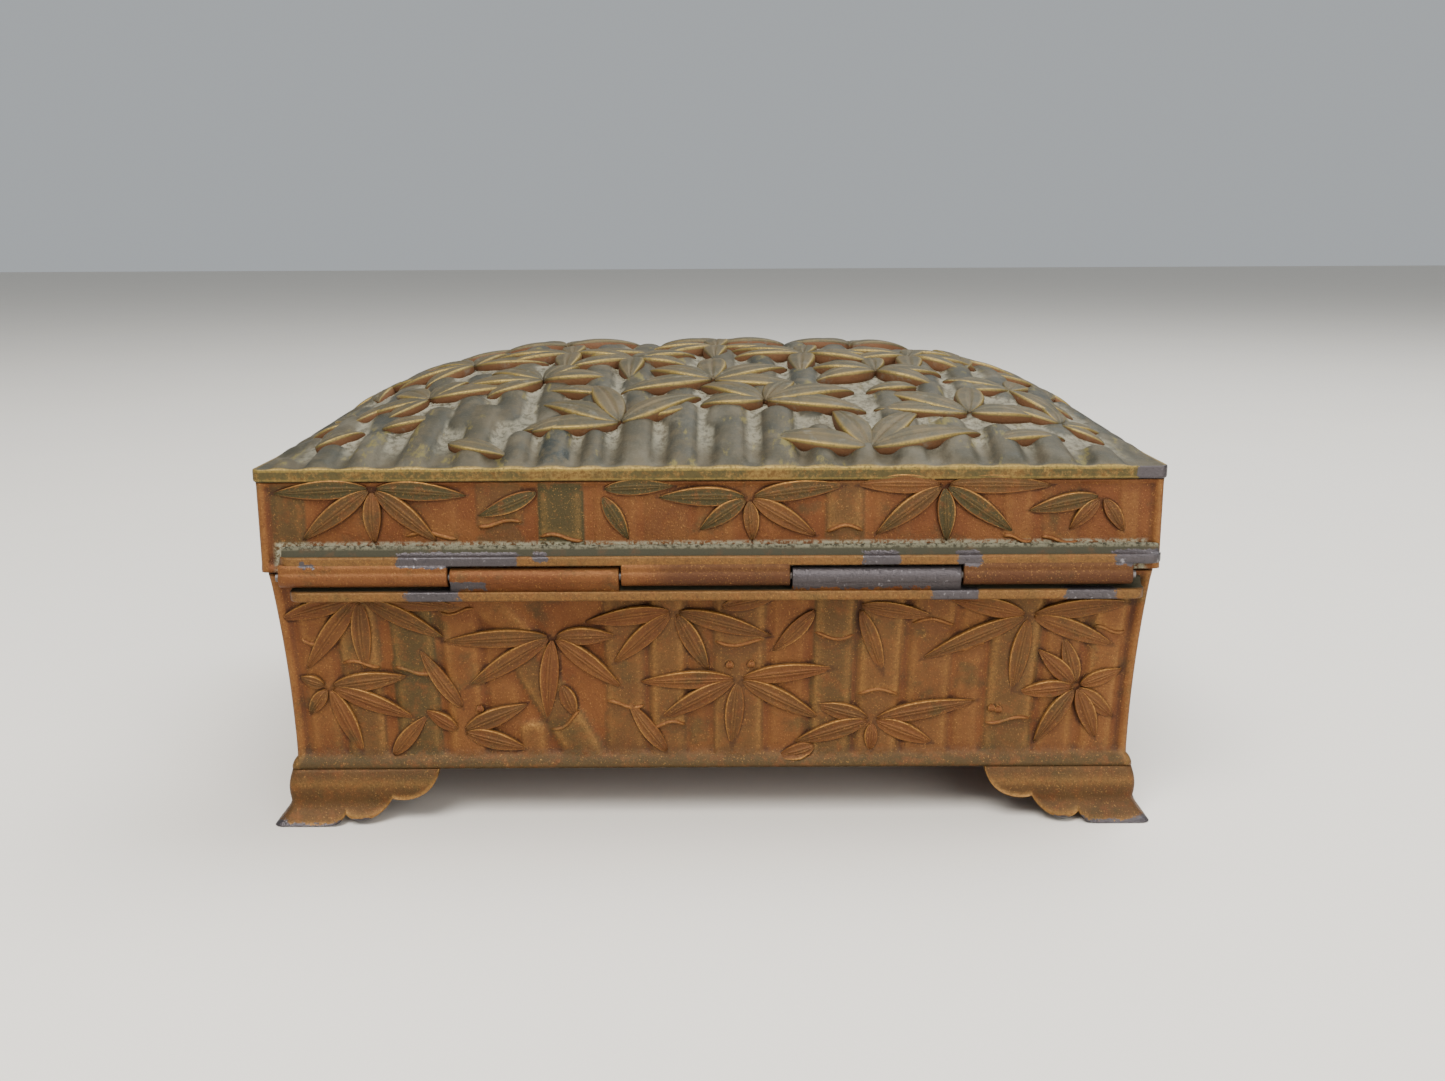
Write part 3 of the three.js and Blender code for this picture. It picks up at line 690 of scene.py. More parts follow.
def wall_casting(name, outline, low_z, high_z, inset, inner_inset, leaves, canes, fade, grime, dusty):
    """A ring of wall with relief outside and a plain inside. fade(v) is 1 where the relief is at full
    height. grime(v) is the stain that runs along the wall, and dusty(face, u, v) where powder has settled."""
    columns = int(outline.length / GRID)
    s = np.arange(columns) * outline.length / columns
    rows = int((high_z - low_z) / GRID) + 1
    S, V = np.meshgrid(s, np.linspace(0, high_z - low_z, rows))
    height, stain, shade, dust, flat_part = (np.zeros_like(S) for _ in range(5))
    for face in outline.facing:
        U = outline.along(S, face)
        here = np.abs(U) <= outline.reach(face) + outline.quarter / 2
        face_height, face_stain, face_shade = lay_out(U, V, canes[face], leaves[face])
        height = np.where(here, face_height, height)
        stain = np.where(here, face_stain, stain)
        shade = np.where(here, face_shade, shade)
        dust = np.where(here, dusty(face, U, V), dust)
        flat_part = np.where(here, smooth_step((outline.reach(face) + 0.3 - np.abs(U)) / 0.5), flat_part)
    full = fade(V) * flat_part  # the upright corners stay plain, as raised strips
    field = blurred((GROUND + height) * full + CORNER_PROUD * (1 - flat_part), 1, True)
    proud, low = relief_layers(field, True)
    wear = np.maximum(QUIET * proud * full, CORNER_WEAR * (1 - flat_part))
    # Crease colour and painted shade in the hollows, and painted shadow beside the leaves.
    hollow = np.clip(QUIET * low * full + SHADED * shade * full, 0, 1)
    stain = np.maximum(STAINED * stain * full, grime(V))
    outer = outline.at(S, low_z + V, inset(low_z + V), field, slope(inset, low_z + V))

    rings = plain_rings(outline, s, low_z, high_z, inset, inner_inset)
    points = np.concatenate([outer.reshape(-1, 3)] + [ring.reshape(-1, 3) for ring in rings])
    total = rows + len(rings)
    faces = grid_faces(total, columns, wrap=True).tolist()
    last = (total - 1) * columns
    faces += [[last + i, last + (i + 1) % columns, (i + 1) % columns, i] for i in range(columns)]
    layers = padded_layers(len(rings) * columns, wear=wear, hollow=hollow, stain=stain, dust=dust)
    layers["wear"][rows * columns: (rows + 2) * columns] = LIP_WEAR
    return make_piece(name, points, faces, layers)


def make_walls(node, body, name, leaf_name, inset, inner_inset, leaves, canes, fade, grime, dusty,
               leaf_height, highest, material):
    """A casting and, face by face, the leaves and node lines on it. highest is where node lines end."""
    low, high = box_mm(node)
    outline = Outline(low, high)
    low_z = low[2]
    walls = wall_casting(name, outline, low_z, high[2], inset, inner_inset, leaves, canes, fade, grime, dusty)
    settle(walls, body, "gilt_relief", material, node)
    for face, on_face in leaves.items():
        middle = outline.middles[face]

        def place(u, v, relief):
            z = low_z + v
            return outline.at(middle + u, z, inset(z), relief, slope(inset, z))

        shells = [leaf.shell(place, leaf_height, WALL_SECTION) for leaf in on_face]
        for cane in canes[face]:
            shells += cane.node_lines(place, highest)
        settle(make_piece(leaf_name + face, *joined(shells)), body, "gilt_relief", material, node)


def make_tub(material):
    rng = np.random.default_rng(SEED)
    half_x, half_y = Outline(TUB_LOW, TUB_HIGH).core
    leaves = {"back": tub_back_leaves(), "front": other_leaves(half_x, TUB_TOP - 1, rng, 15, 2)}
    canes = {"back": tub_back_canes(), "front": upright_canes(-half_x, half_x, TUB_TOP, rng)}
    for face in ("left", "right"):
        leaves[face] = other_leaves(half_y, TUB_TOP - 1, rng, 15, 2)
        canes[face] = upright_canes(-half_y, half_y, TUB_TOP, rng)

    def fade(v):
        return smooth_step((v - 1.3) / 0.5) * smooth_step((TUB_TOP - 0.5 - v) / 0.5)

    def grime(v):
        return 0.8 * smooth_step((2.3 - v) / 1.2)

    def dusty(face, u, v):
        return 0.05 * np.exp(-(((v - 1.9) / 0.5) ** 2))

    make_walls("tub_walls", "tub", "tub_wall_casting", "tub_leaves_", tub_inset, tub_cavity,
               leaves, canes, fade, grime, dusty, WALL_LEAF, TUB_TOP - 1, material)


def make_band(material):
    rng = np.random.default_rng(SEED + 1)
    half_x, half_y = Outline(BAND_LOW, BAND_HIGH).core
    leaves = {"back": band_back_leaves(), "front": other_leaves(half_x, BAND_TOP - 0.3, rng, 18, 1.5)}
    canes = {face: upright_canes(-half, half, BAND_TOP, rng, 0.2)
             for face, half in (("front", half_x), ("left", half_y), ("right", half_y))}
    canes["back"] = [Cane(u, -1, u, BAND_TOP + 1, width, [node + 1], height, stain)
                     for u, width, node, height, stain in [
                         (-52, 4, -4, 0.1, 0.8), (-34.5, 7, 4.5, 0.1, 0.1), (-26, 6, 6, 0.16, 0.5),
                         (-18.4, 5.8, 4.2, 0.3, 1.5), (-11.6, 5.6, -4, 0.12, 0.1), (-5.4, 5.6, -4, 0.08, 0.2),
                         (0.6, 5, -4, 0.14, 0.1), (16.6, 5, 5.2, 0.3, 0.6), (22.6, 5, -4, 0.1, 0.1),
                         (38, 4, 3.8, 0.2, 0.1), (43.2, 5, 3.6, 0.14, 0.2), (51.6, 3, -4, 0.2, 0.1)]]
    for face in ("left", "right"):
        leaves[face] = other_leaves(half_y, BAND_TOP - 0.3, rng, 18, 1.5)

    def level(z):
        return np.zeros_like(np.asarray(z, float))

    def inside(z):
        return BAND_WALL

    def fade(v):
        return smooth_step((v - 0.5) / 0.6) * smooth_step((BAND_TOP - 0.15 - v) / 0.3)

    hinge_top = AXIS_Z + COVE_TOP - BAND_LOW[2]  # the crust sits along the top of the hinge's lid leaf

    def grime(v):
        return np.zeros_like(v)

    def dusty(face, u, v):
        crust = smooth_step((hinge_top + 0.55 - v) / 0.5) * smooth_step((54.2 - np.abs(u)) / 0.6)
        return crust if face == "back" else 0 * u

    make_walls("lid_band", "lid", "lid_band_casting", "band_leaves_", level, inside,
               leaves, canes, fade, grime, dusty, 0.85 * WALL_LEAF, BAND_TOP - 0.8, material)


def rounded_plan(U, W):
    """Rounds the plan's corners: a square patch at each corner becomes a quarter disc."""
    inner = DOME_HALF - CORNER_RADIUS
    a = np.maximum(0, np.abs(U) - inner[0]) / CORNER_RADIUS
    b = np.maximum(0, np.abs(W) - inner[1]) / CORNER_RADIUS
    round_u = np.sign(U) * (np.minimum(np.abs(U), inner[0]) + CORNER_RADIUS * a * np.sqrt(1 - b * b / 2))
    round_w = np.sign(W) * (np.minimum(np.abs(W), inner[1]) + CORNER_RADIUS * b * np.sqrt(1 - a * a / 2))
    return round_u, round_w


def dome_rings(edge):
    """From the upper surface's edge down the rim, in over the seat and up the plain underside. Gives the
    rings, how many of them are on the rim, and the wear of each ring as far as the seat."""
    low_z = DOME_LOW[2]
    centre = np.array([0, CENTRE_Y])
    profile = [(RIM_Z - 0.12, -0.06, 0.7), (RIM_Z - 0.28, -0.08, 0.7), (RIM_Z - 0.42, -0.08, 0.1),
               (low_z + 0.4, -0.08, 0.1), (low_z + 0.28, -0.08, 0.5), (low_z + 0.1, -0.04, 0.3),
               (low_z, 0.1, 0), (low_z, DOME_SEAT, 0)]  # height, inset and wear
    away = (edge[:, :2] - centre) / np.linalg.norm(edge[:, :2] - centre, axis=1, keepdims=True)
    rings = [np.column_stack([edge[:, :2] - away * inset, np.full(len(edge), z)]) for z, inset, _ in profile]
    seat = rings[-1][:, :2] - centre
    for share in np.linspace(0.9, 0.05, 12):
        flat = seat * share
        z = dome_height(flat[:, 0], flat[:, 1], low_z, *(DOME_HALF - DOME_SEAT))
        rings.append(np.column_stack([flat + centre, z]))
    return rings, len(profile) - 2, [wear for _, _, wear in profile]


def make_dome(material, leaf_material):
    rng = np.random.default_rng(SEED + 2)
    leaves = dome_near_leaves() + dome_far_leaves(rng)
    canes = dome_canes(rng)
    columns, rows = (int(2 * h / GRID) + 1 for h in DOME_HALF)
    U, W = np.meshgrid(*(np.linspace(-h, h, count) for h, count in zip(DOME_HALF, (columns, rows))))
    height, stain, shade = lay_out(U, W, canes, leaves)
    from_edge = np.minimum(DOME_HALF[0] - np.abs(U), DOME_HALF[1] - np.abs(W))
    fade = smooth_step((from_edge - 0.35) / 0.5)
    field = blurred((GROUND + height) * fade, 2, False)
    near_leaves = 0.42 + 0.58 * blurred(shade, 14, False)
    dust = np.clip(1 - height / 0.5, 0, 1) * near_leaves * smooth_step((from_edge - 2) / 4)
    top = dome_point(*rounded_plan(U, W), field).reshape(-1, 3)

    number = np.arange(rows * columns).reshape(rows, columns)
    loop = np.concatenate([number[0], number[1:, -1], number[-1, -2::-1], number[-2:0:-1, 0]])
    rings, rim_rings, ring_wear = dome_rings(top[loop])
    points = np.concatenate([top] + rings)
    faces = grid_faces(rows, columns, wrap=False).tolist()
    around = len(loop)
    previous = loop
    for i in range(len(rings)):
        current = rows * columns + i * around + np.arange(around)
        faces += np.stack([previous, np.roll(previous, -1), np.roll(current, -1), current], axis=1).tolist()
        previous = current
    faces.append(previous.tolist())

    at_edge = smooth_step(1 - from_edge / 0.35)
    layers = padded_layers(len(rings) * around, rim=at_edge, wear=at_edge, dust=dust, stain=stain * fade)
    layers["rim"][rows * columns:][: rim_rings * around] = 1
    layers["wear"][rows * columns:][: len(ring_wear) * around] = np.repeat(ring_wear, around)
    behind = points[:, 1] > DOME_HIGH[1] - BARE_CORNER_DEPTH
    layers["bare"] = smooth_step((-points[:, 0] - BARE_CORNER_X) / 0.2) * behind
    dome = make_piece("lid_dome_casting", points, faces, layers)
    settle(dome, "lid", "dark_patina", material, "lid_dome")
    shells = [leaf.shell(dome_point, DOME_LEAF, DOME_SECTION) for leaf in leaves]
    settle(make_piece("dome_leaves", *joined(shells)), "lid", "dark_patina", leaf_material, "lid_dome")


# ---------------------------------------------------------------- feet
# The scallops of one leg's lower edge, as curves: two handles and an end, each (distance, height).
LOBES = [((4.9, 0), (5.8, 0.5), (6, 1.3)), ((7, 0.3), (10.6, 0.1), (12, 3.2)),
         ((13.4, 2.5), (17.4, 3.1), (FOOT_LEG, FOOT_HEIGHT - 0.15))]


def ogee(z):
    """How far a foot's face stands out at a height: leaning, swelling and sweeping out to the toe."""
    up = np.maximum(0, z - FOOT_WAIST) / (FOOT_HEIGHT - FOOT_WAIST)
    lean = FOOT_BATTER * (1 - z / FOOT_HEIGHT)
    above_edge = np.maximum(0, z - FOOT_EDGE) / (FOOT_WAIST - FOOT_EDGE)
    toe = FOOT_TOE * np.maximum(0, 1 - above_edge) ** 2
    return lean + FOOT_SWELL * np.sin(math.pi * up) + toe


def foot_edge():
    """The scalloped lower edge of one leg, from the corner to its end: distance along and height."""
    edge = [(d, 0.0) for d in np.linspace(0, FOOT_TREAD, 6)]
    for one, two, end in LOBES:
        begin = np.array(edge[-1])
        for t in np.linspace(0, 1, 15)[1:]:
            point = ((1 - t) ** 3 * begin + 3 * (1 - t) ** 2 * t * np.array(one)
                     + 3 * (1 - t) * t**2 * np.array(two) + t**3 * np.array(end))
            edge.append(tuple(point))
    return np.array(edge)


def foot_stations(core):
    """Round both legs of a foot: the points behind the face, the outward normals and the height of the
    lower edge. The corner's arc turns about the core point."""
    edge = foot_edge()
    stations = []
    for distance, bottom in edge[::-1]:
        stations.append(((core[0] - distance, core[1]), (0, 1), bottom))
    for turn in np.linspace(0, math.pi / 2, 8)[1:-1]:
        stations.append((tuple(core), (math.sin(turn), math.cos(turn)), 0.0))
    for distance, bottom in edge:
        stations.append(((core[0], core[1] - distance), (1, 0), bottom))
    return (np.array(column) for column in zip(*stations))


def foot_shell(core):
    """The bent plate of a foot, as rows of points down the outside and up the inside: their plan, where x
    and y are positive, their heights, how far above the lower edge they are, and 1 for those on the
    outside and for those on the outside of the corner."""
    middle, normal, bottom = foot_stations(core)
    levels = np.concatenate([[0, 0.02, 0.05, 0.09, 0.14], np.linspace(0.2, 1, 14)])
    z = bottom[None, :] + levels[:, None] * (FOOT_HEIGHT - bottom)[None, :]
    above = z - bottom[None, :]
    bead = 0.26 * np.exp(-((above / 0.38) ** 2))
    out = ogee(z)
    on_corner = ((normal[:, 0] > 0) & (normal[:, 1] > 0))[None, :, None]
    shift = np.where(on_corner, out[..., None] * np.ones(2), out[..., None] * normal)
    outside = middle + shift + normal * (CORNER_RADIUS + bead)[..., None]
    inside = middle + shift + normal * (CORNER_RADIUS - FOOT_WALL)
    loops = np.concatenate([outside[::-1], inside], axis=0)
    heights = np.concatenate([z[::-1], z], axis=0)
    rounding = 0.12  # the lower edge's outer and inner lines are eased
    heights[len(levels) - 1] += rounding
    near = np.concatenate([above[::-1], above], axis=0)
    outer = np.concatenate([np.ones_like(above), np.zeros_like(above)])
    return loops, heights, near, outer, outer * on_corner[..., 0]


def make_foot(node, material):
    low, high = box_mm(node)
    signs = np.array([1 if low[0] + high[0] > 0 else -1, 1 if low[1] + high[1] > 2 * CENTRE_Y else -1])
    centre = np.array([0, CENTRE_Y])
    half = np.maximum(np.abs(low[:2] - centre), np.abs(high[:2] - centre)) - ogee(0)
    loops, heights, near, outer, corner = foot_shell(half - CORNER_RADIUS)
    rows, columns = heights.shape
    points = np.concatenate([loops * signs + centre, heights[..., None]], axis=-1).reshape(-1, 3)
    faces = grid_faces(rows, columns, wrap=False).tolist()
    faces += [[(rows - 1) * columns + i, (rows - 1) * columns + i + 1, i + 1, i] for i in range(columns - 1)]
    for column in (0, columns - 1):
        faces.append([row * columns + column for row in range(rows)])

    # The gold on the rolled rim is wear. The band at 5.2 mm is a painted highlight where the foot's swelling
    # catches the light.
    wear = 0.8 * np.exp(-((near / 0.45) ** 2)) + 0.22 * np.exp(-(((heights - 5.2) / 0.6) ** 2)) * outer
    # A painted shade band in the hollow just above the rolled rim.
    hollow = np.exp(-(((near - 0.9) / 0.35) ** 2)) * 0.3 * outer
    bare = np.exp(-((near / 0.5) ** 2)) * smooth_step((1.1 - heights) / 0.4) + 0.3 * corner * (heights < 1)

    inner_x, inner_y = half - FOOT_WALL + 0.2
    web_plan = [(inner_x, inner_y), (inner_x - WEB_LEG, inner_y), (inner_x, inner_y - WEB_LEG)]
    start = len(points)
    web = [(signs[0] * x, signs[1] * y + CENTRE_Y, z)
           for z in (FOOT_HEIGHT - WEB_THICK, FOOT_HEIGHT - 0.02) for x, y in web_plan]
    points = np.concatenate([points, np.array(web)])
    faces += [[start + i for i in face] for face in
              ([0, 1, 2], [3, 4, 5], [0, 1, 4, 3], [1, 2, 5, 4], [2, 0, 3, 5])]
    layers = padded_layers(len(web), wear=np.clip(wear, 0, 1), hollow=hollow, stain=0.6 * outer,
                           bare=np.clip(bare, 0, 1))
    foot = make_piece(node.replace("foot_", "bracket_"), points, faces, layers)
    settle(foot, "tub", "gilt_relief", material, node)


# ---------------------------------------------------------------- hinge
def bar(section, from_x, to_x, ends, step=0.9):
    """A closed bar along X with a (y, z) section about the hinge axis. ends holds pairs: a distance from
    each end, and the share of the section's reach that is left there."""
    section = np.array(section, float)
    root = section[:, 0].min()
    count = max(3, int((to_x - from_x) / step))
    inner = ends[-1][0]
    stations = [(from_x + distance, share) for distance, share in ends[:-1]]
    stations += [(x, 1) for x in np.linspace(from_x + inner, to_x - inner, count)]
    stations += [(to_x - distance, share) for distance, share in reversed(ends[:-1])]
    middle = section[:, 1].mean()
    rows = []
    for x, share in stations:
        y = root + (section[:, 0] - root) * share
        z = middle + (section[:, 1] - middle) * (0.8 + 0.2 * share)
        rows.append(np.column_stack([np.full(len(section), x), y + AXIS_Y, z + AXIS_Z]))
    return np.concatenate(rows), tube_faces(len(rows), len(section))


def rounded_ends(radius, reach, steps=7):
    """Ends for a bar whose outer corners are rounded in plan."""
    turns = np.linspace(0.15, 1, steps) * math.pi / 2
    return [(radius * (1 - math.cos(t)), (reach - radius * (1 - math.sin(t))) / reach) for t in turns]


def arc(radius, start, end, count, centre=(0, 0)):
    angles = np.radians(np.linspace(start, end, count))
    return [(centre[0] + radius * math.cos(a), centre[1] + radius * math.sin(a)) for a in angles]


def lid_leaf_section():
    """A thin rounded lip, and over it the cove that gathers dirt."""
    wall = BAND_HIGH[1] - AXIS_Y + 0.05
    under = [(wall, 1.5)] + arc(0.22, -90, 0, 4, (HINGE_LIP - 0.22, 1.72))
    rounded = arc(0.3, 0, 100, 6, (HINGE_LIP - 0.3, 2.42))
    cove = [(0.5, 2.6), (0.15, 2.45), (-0.25, 2.5), (-0.62, 2.75), (-0.9, 3.15), (wall, COVE_TOP)]
    return under + rounded + cove


def tub_leaf_section():
    """A lip, and over it the scoop that the lid's knuckles turn in."""
    wall = TUB_HIGH[1] - AXIS_Y + 0.05
    scoop = arc(1.7, -90, -160, 9)
    lower = [(wall, -3.4)] + arc(0.3, -70, 0, 5, (HINGE_LIP - 0.3, -2.65))
    upper = arc(0.25, 0, 70, 4, (HINGE_LIP - 0.25, -1.95))
    return lower + upper + scoop + [(wall, -0.55)]


def knuckle_section(of_lid):
    """The rolled barrel, with the neck that joins it to its leaf."""
    if of_lid:
        return [(-0.9, 1.7)] + arc(BARREL, 140, 400, 26) + [(HINGE_LIP, 1.0), (HINGE_LIP, 1.7)]
    return [(0.8, -1.9)] + arc(BARREL, -45, 180, 24) + [(-BARREL, -1.9)]


class Patch:
    """Where the gilt is gone: a stretch of X between two heights about the axis, with ragged edges."""

    def __init__(self, from_x, to_x, low, high):
        self.from_x, self.to_x, self.low, self.high = from_x, to_x, low, high

    def cover(self, x, height):
        edge = 0.9
        across = smooth_step((x - self.from_x) / edge + 0.5) * smooth_step((self.to_x - x) / edge + 0.5)
        return across * smooth_step((height - self.low) / 0.2) * smooth_step((self.high - height) / 0.2)


def make_hinge_leaf(node, body, section, from_to, of_lid, patches, material):
    """A leaf and the knuckles rolled from it, which are every second one of the barrel."""
    reach = HINGE_LIP - min(y for y, _ in section)
    points, faces = bar(section, *from_to, rounded_ends(LEAF_END, reach))
    bars = [(points, faces, {"knuckle": np.zeros(len(points))})]
    squared = [(0, 0.93), (0.04, 0.98), (0.1, 1)]  # a knuckle's cut ends are barely eased
    for i in range(0 if of_lid else 1, KNUCKLES, 2):
        start = BARREL_FROM + i * PITCH + SLIT / 2
        points, faces = bar(knuckle_section(of_lid), start, start + PITCH - SLIT, squared)
        bars.append((points, faces, {"knuckle": np.ones(len(points))}))
    points, faces, marks = joined(bars)
    knuckle = marks["knuckle"]
    height = points[:, 2] - AXIS_Z
    out = points[:, 1] - AXIS_Y
    lip = smooth_step((out - 0.25) / 0.4) * (1 - knuckle)
    behind = (1 - knuckle) * smooth_step((0.45 - out) / 0.4)
    bare = np.zeros(len(points))
    for patch in patches:
        bare = np.maximum(bare, patch.cover(points[:, 0], height))
    # Painted shade on the lid's knuckles, darker where X is below about 12 mm.
    painted_knuckle_shade = (0.7 if of_lid else 0) * smooth_step((12 - points[:, 0]) / 8) * knuckle
    layers = {"wear": 0.22 * lip + 0.08 * knuckle * smooth_step(height / 0.8), "stain": 0.5 * lip,
              "dirt": behind, "dust": behind * smooth_step((height - 3.2) / 0.3), "bare": bare,
              "hollow": painted_knuckle_shade}
    leaf = make_piece(node.replace("leaf", "strip"), points, faces, layers)
    settle(leaf, body, "worn_gilt", material, node)


def make_hinge(material):
    lid_lip = (1.3, 3.0)
    tub_lip = (-3.6, -1.5)
    lid_patches = [Patch(23.5, 38.3, *lid_lip), Patch(-23, -18.6, *lid_lip), Patch(-33.4, -30.2, *lid_lip),
                   Patch(-56, -49.5, *lid_lip), Patch(48.6, 50.4, 1.2, 2.2), Patch(20, 22, 2.1, 3)]
    tub_patches = [Patch(30.9, 37.3, *tub_lip), Patch(-32.9, -27.2, *tub_lip), Patch(-50, -43.8, *tub_lip),
                   Patch(27.5, 33, -1.6, -0.25), Patch(12, 33, -1.7, -0.95), Patch(-30.8, -9.2, -1.7, 1.4)]
    make_hinge_leaf("lid_hinge_leaf", "lid", lid_leaf_section(), LID_LEAF_X, True, lid_patches, material)
    make_hinge_leaf("tub_hinge_leaf", "tub", tub_leaf_section(), TUB_LEAF_X, False, tub_patches, material)


# ---------------------------------------------------------------- velvet
def remeshed_copy(node, name, voxel, shrink=0.0):
    """The CAD node's shape as an even mesh of its own, drawn in a little where it will swell."""
    mesh = frame["nodes"][node].data.copy()
    mesh.name = name
    piece = add_object(name, mesh)
    if shrink:
        low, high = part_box(node)
        middle, half = (low + high) / 2, (high - low) / 2
        for vertex in mesh.vertices:
            for axis in range(3):
                share = 1 - shrink * MM / half[axis]
                vertex.co[axis] = middle[axis] + (vertex.co[axis] - middle[axis]) * share
    remesh = piece.modifiers.new("even", "REMESH")
    remesh.mode = "VOXEL"
    remesh.voxel_size = voxel * MM
    apply_modifiers(piece)
    return piece


def apply_modifiers(piece):
    graph = bpy.context.evaluated_depsgraph_get()
    made = bpy.data.meshes.new_from_object(piece.evaluated_get(graph))
    piece.modifiers.clear()
    piece.data = made


def points_of(piece):
    co = np.zeros(len(piece.data.vertices) * 3, np.float32)
    piece.data.vertices.foreach_get("co", co)
    return co.reshape(-1, 3)


def move_points(piece, points):
    piece.data.vertices.foreach_set("co", points.astype(np.float32).ravel())
    piece.data.update()


def swell(piece):
    """Blows the pad up a little with the Cloth simulation, each point held near where it began."""
    before = points_of(piece)
    cloth = piece.modifiers.new("swell", "CLOTH")
    cloth.settings.use_pressure = True
    cloth.settings.uniform_pressure_force = PAD_PRESSURE
    cloth.settings.effector_weights.gravity = 0
    cloth.settings.quality = 5
    scene = bpy.context.scene
    for number in range(1, PAD_FRAMES + 1):
        scene.frame_set(number)
    apply_modifiers(piece)
    scene.frame_set(1)
    after = points_of(piece)
    moved = after - before
    far = np.linalg.norm(moved, axis=1, keepdims=True)
    move_points(piece, before + moved * np.minimum(1, PAD_CAP * MM / np.maximum(far, 1e-9)))


def make_pad(node, body, name, material):
    pad = remeshed_copy(node, name, PAD_VOXEL, PAD_SHRINK)
    swell(pad)
    finer = pad.modifiers.new("finer", "SUBSURF")
    finer.levels = finer.render_levels = 1
    apply_modifiers(pad)
    pad.data.shade_smooth()
    settle(pad, body, "velvet", material, node)


def make_lining(node, name, material):
    """A velvet-covered board: the edges are turned over it and so are soft and a little uneven."""
    board = remeshed_copy(node, name, LINING_VOXEL)
    relax = board.modifiers.new("soften", "SMOOTH")
    relax.factor = 0.5
    relax.iterations = 4
    apply_modifiers(board)
    co = points_of(board).astype(float)
    wave = np.sin(co[:, 0] * 410 + co[:, 1] * 350) * np.sin(co[:, 2] * 520 + co[:, 0] * 160)
    normals = np.zeros(len(co) * 3, np.float32)
    board.data.vertices.foreach_get("normal", normals)
    co += normals.reshape(-1, 3) * (wave * BOARD_WAVE * MM)[:, None]
    move_points(board, co)
    board.data.shade_smooth()
    settle(board, "tub", "velvet", material, node)


# ---------------------------------------------------------------- materials
class Paint:
    """Builds one node material: layers of colour, roughness and metal, each laid on through a mask."""

    def __init__(self, name):
        self.material = bpy.data.materials.new(name)
        self.material.use_nodes = True
        self.nodes = self.material.node_tree.nodes
        self.links = self.material.node_tree.links
        self.shader = self.nodes["Principled BSDF"]
        self.place = self.nodes.new("ShaderNodeTexCoord").outputs["Object"]
        self.colour = self.roughness = self.metal = None

    def noise(self, size_mm, detail=4, roughness=0.6, seed=0.0, stretch=None):
        """Noise whose features are about size_mm across. stretch scales the axes first."""
        move = self.nodes.new("ShaderNodeMapping")
        move.inputs["Location"].default_value = (seed, seed * 0.7, seed * 1.3)
        move.inputs["Scale"].default_value = stretch or (1, 1, 1)
        self.links.new(self.place, move.inputs["Vector"])
        node = self.nodes.new("ShaderNodeTexNoise")
        node.inputs["Scale"].default_value = 1 / (size_mm * MM)
        node.inputs["Detail"].default_value = detail
        node.inputs["Roughness"].default_value = roughness
        self.links.new(move.outputs["Vector"], node.inputs["Vector"])
        return node.outputs["Fac"]

    def layer_value(self, key):
        node = self.nodes.new("ShaderNodeAttribute")
        node.attribute_name = key
        return node.outputs["Fac"]

    def maths(self, kind, a, b):
        node = self.nodes.new("ShaderNodeMath")
        node.operation = kind
        for socket, value in zip(node.inputs, (a, b)):
            if isinstance(value, (int, float)):
                socket.default_value = value
            else:
                self.links.new(value, socket)
        return node.outputs[0]

    def times(self, key, mask):
        """A layer of values of the mesh, times a mask."""
        return self.maths("MULTIPLY", self.layer_value(key), mask)

    def spots(self, size_mm, detail, roughness, seed, *limits):
        """Noise turned into spots: the limits are those of ramp."""
        return self.ramp(self.noise(size_mm, detail, roughness, seed), *limits)

    def ramp(self, value, low, high, to_low=0.0, to_high=1.0):
        node = self.nodes.new("ShaderNodeMapRange")
        node.interpolation_type = "SMOOTHSTEP"
        for key, number in (("From Min", low), ("From Max", high), ("To Min", to_low), ("To Max", to_high)):
            node.inputs[key].default_value = number
        self.links.new(value, node.inputs["Value"])
        return node.outputs["Result"]

    def mix(self, kind, mask, a, b):
        node = self.nodes.new("ShaderNodeMix")
        node.data_type = kind
        sockets = [s for s in node.inputs if s.enabled]
        for socket, value in zip(sockets, (mask, a, b)):
            if isinstance(value, (int, float)):
                socket.default_value = value
            elif isinstance(value, tuple):
                socket.default_value = (*value, 1)
            else:
                self.links.new(value, socket)
        return next(s for s in node.outputs if s.enabled)

    def lay(self, mask, colour, roughness, metal):
        """Lays a finish over what is there, where the mask is 1."""
        self.colour = self.mix("RGBA", mask, self.colour, colour)
        self.roughness = self.mix("FLOAT", mask, self.roughness, roughness)
        self.metal = self.mix("FLOAT", mask, self.metal, metal)

    def start(self, colour, other, mask, roughness, metal):
        self.colour = self.mix("RGBA", mask, colour, other)
        self.roughness, self.metal = roughness, metal

    def bump(self, *heights):
        """Adds bumps, each (value, depth in millimetres)."""
        previous = None
        for value, depth in heights:
            node = self.nodes.new("ShaderNodeBump")
            node.inputs["Distance"].default_value = depth * MM
            self.links.new(value, node.inputs["Height"])
            if previous:
                self.links.new(previous, node.inputs["Normal"])
            previous = node.outputs["Normal"]
        self.links.new(previous, self.shader.inputs["Normal"])

    def done(self):
        finish = {"Base Color": self.colour, "Roughness": self.roughness, "Metallic": self.metal}
        self.shader.inputs["Specular IOR Level"].default_value = DULLNESS
        for socket, value in finish.items():
            if isinstance(value, (int, float)):
                self.shader.inputs[socket].default_value = value
            else:
                self.links.new(value, self.shader.inputs[socket])
        return self.material


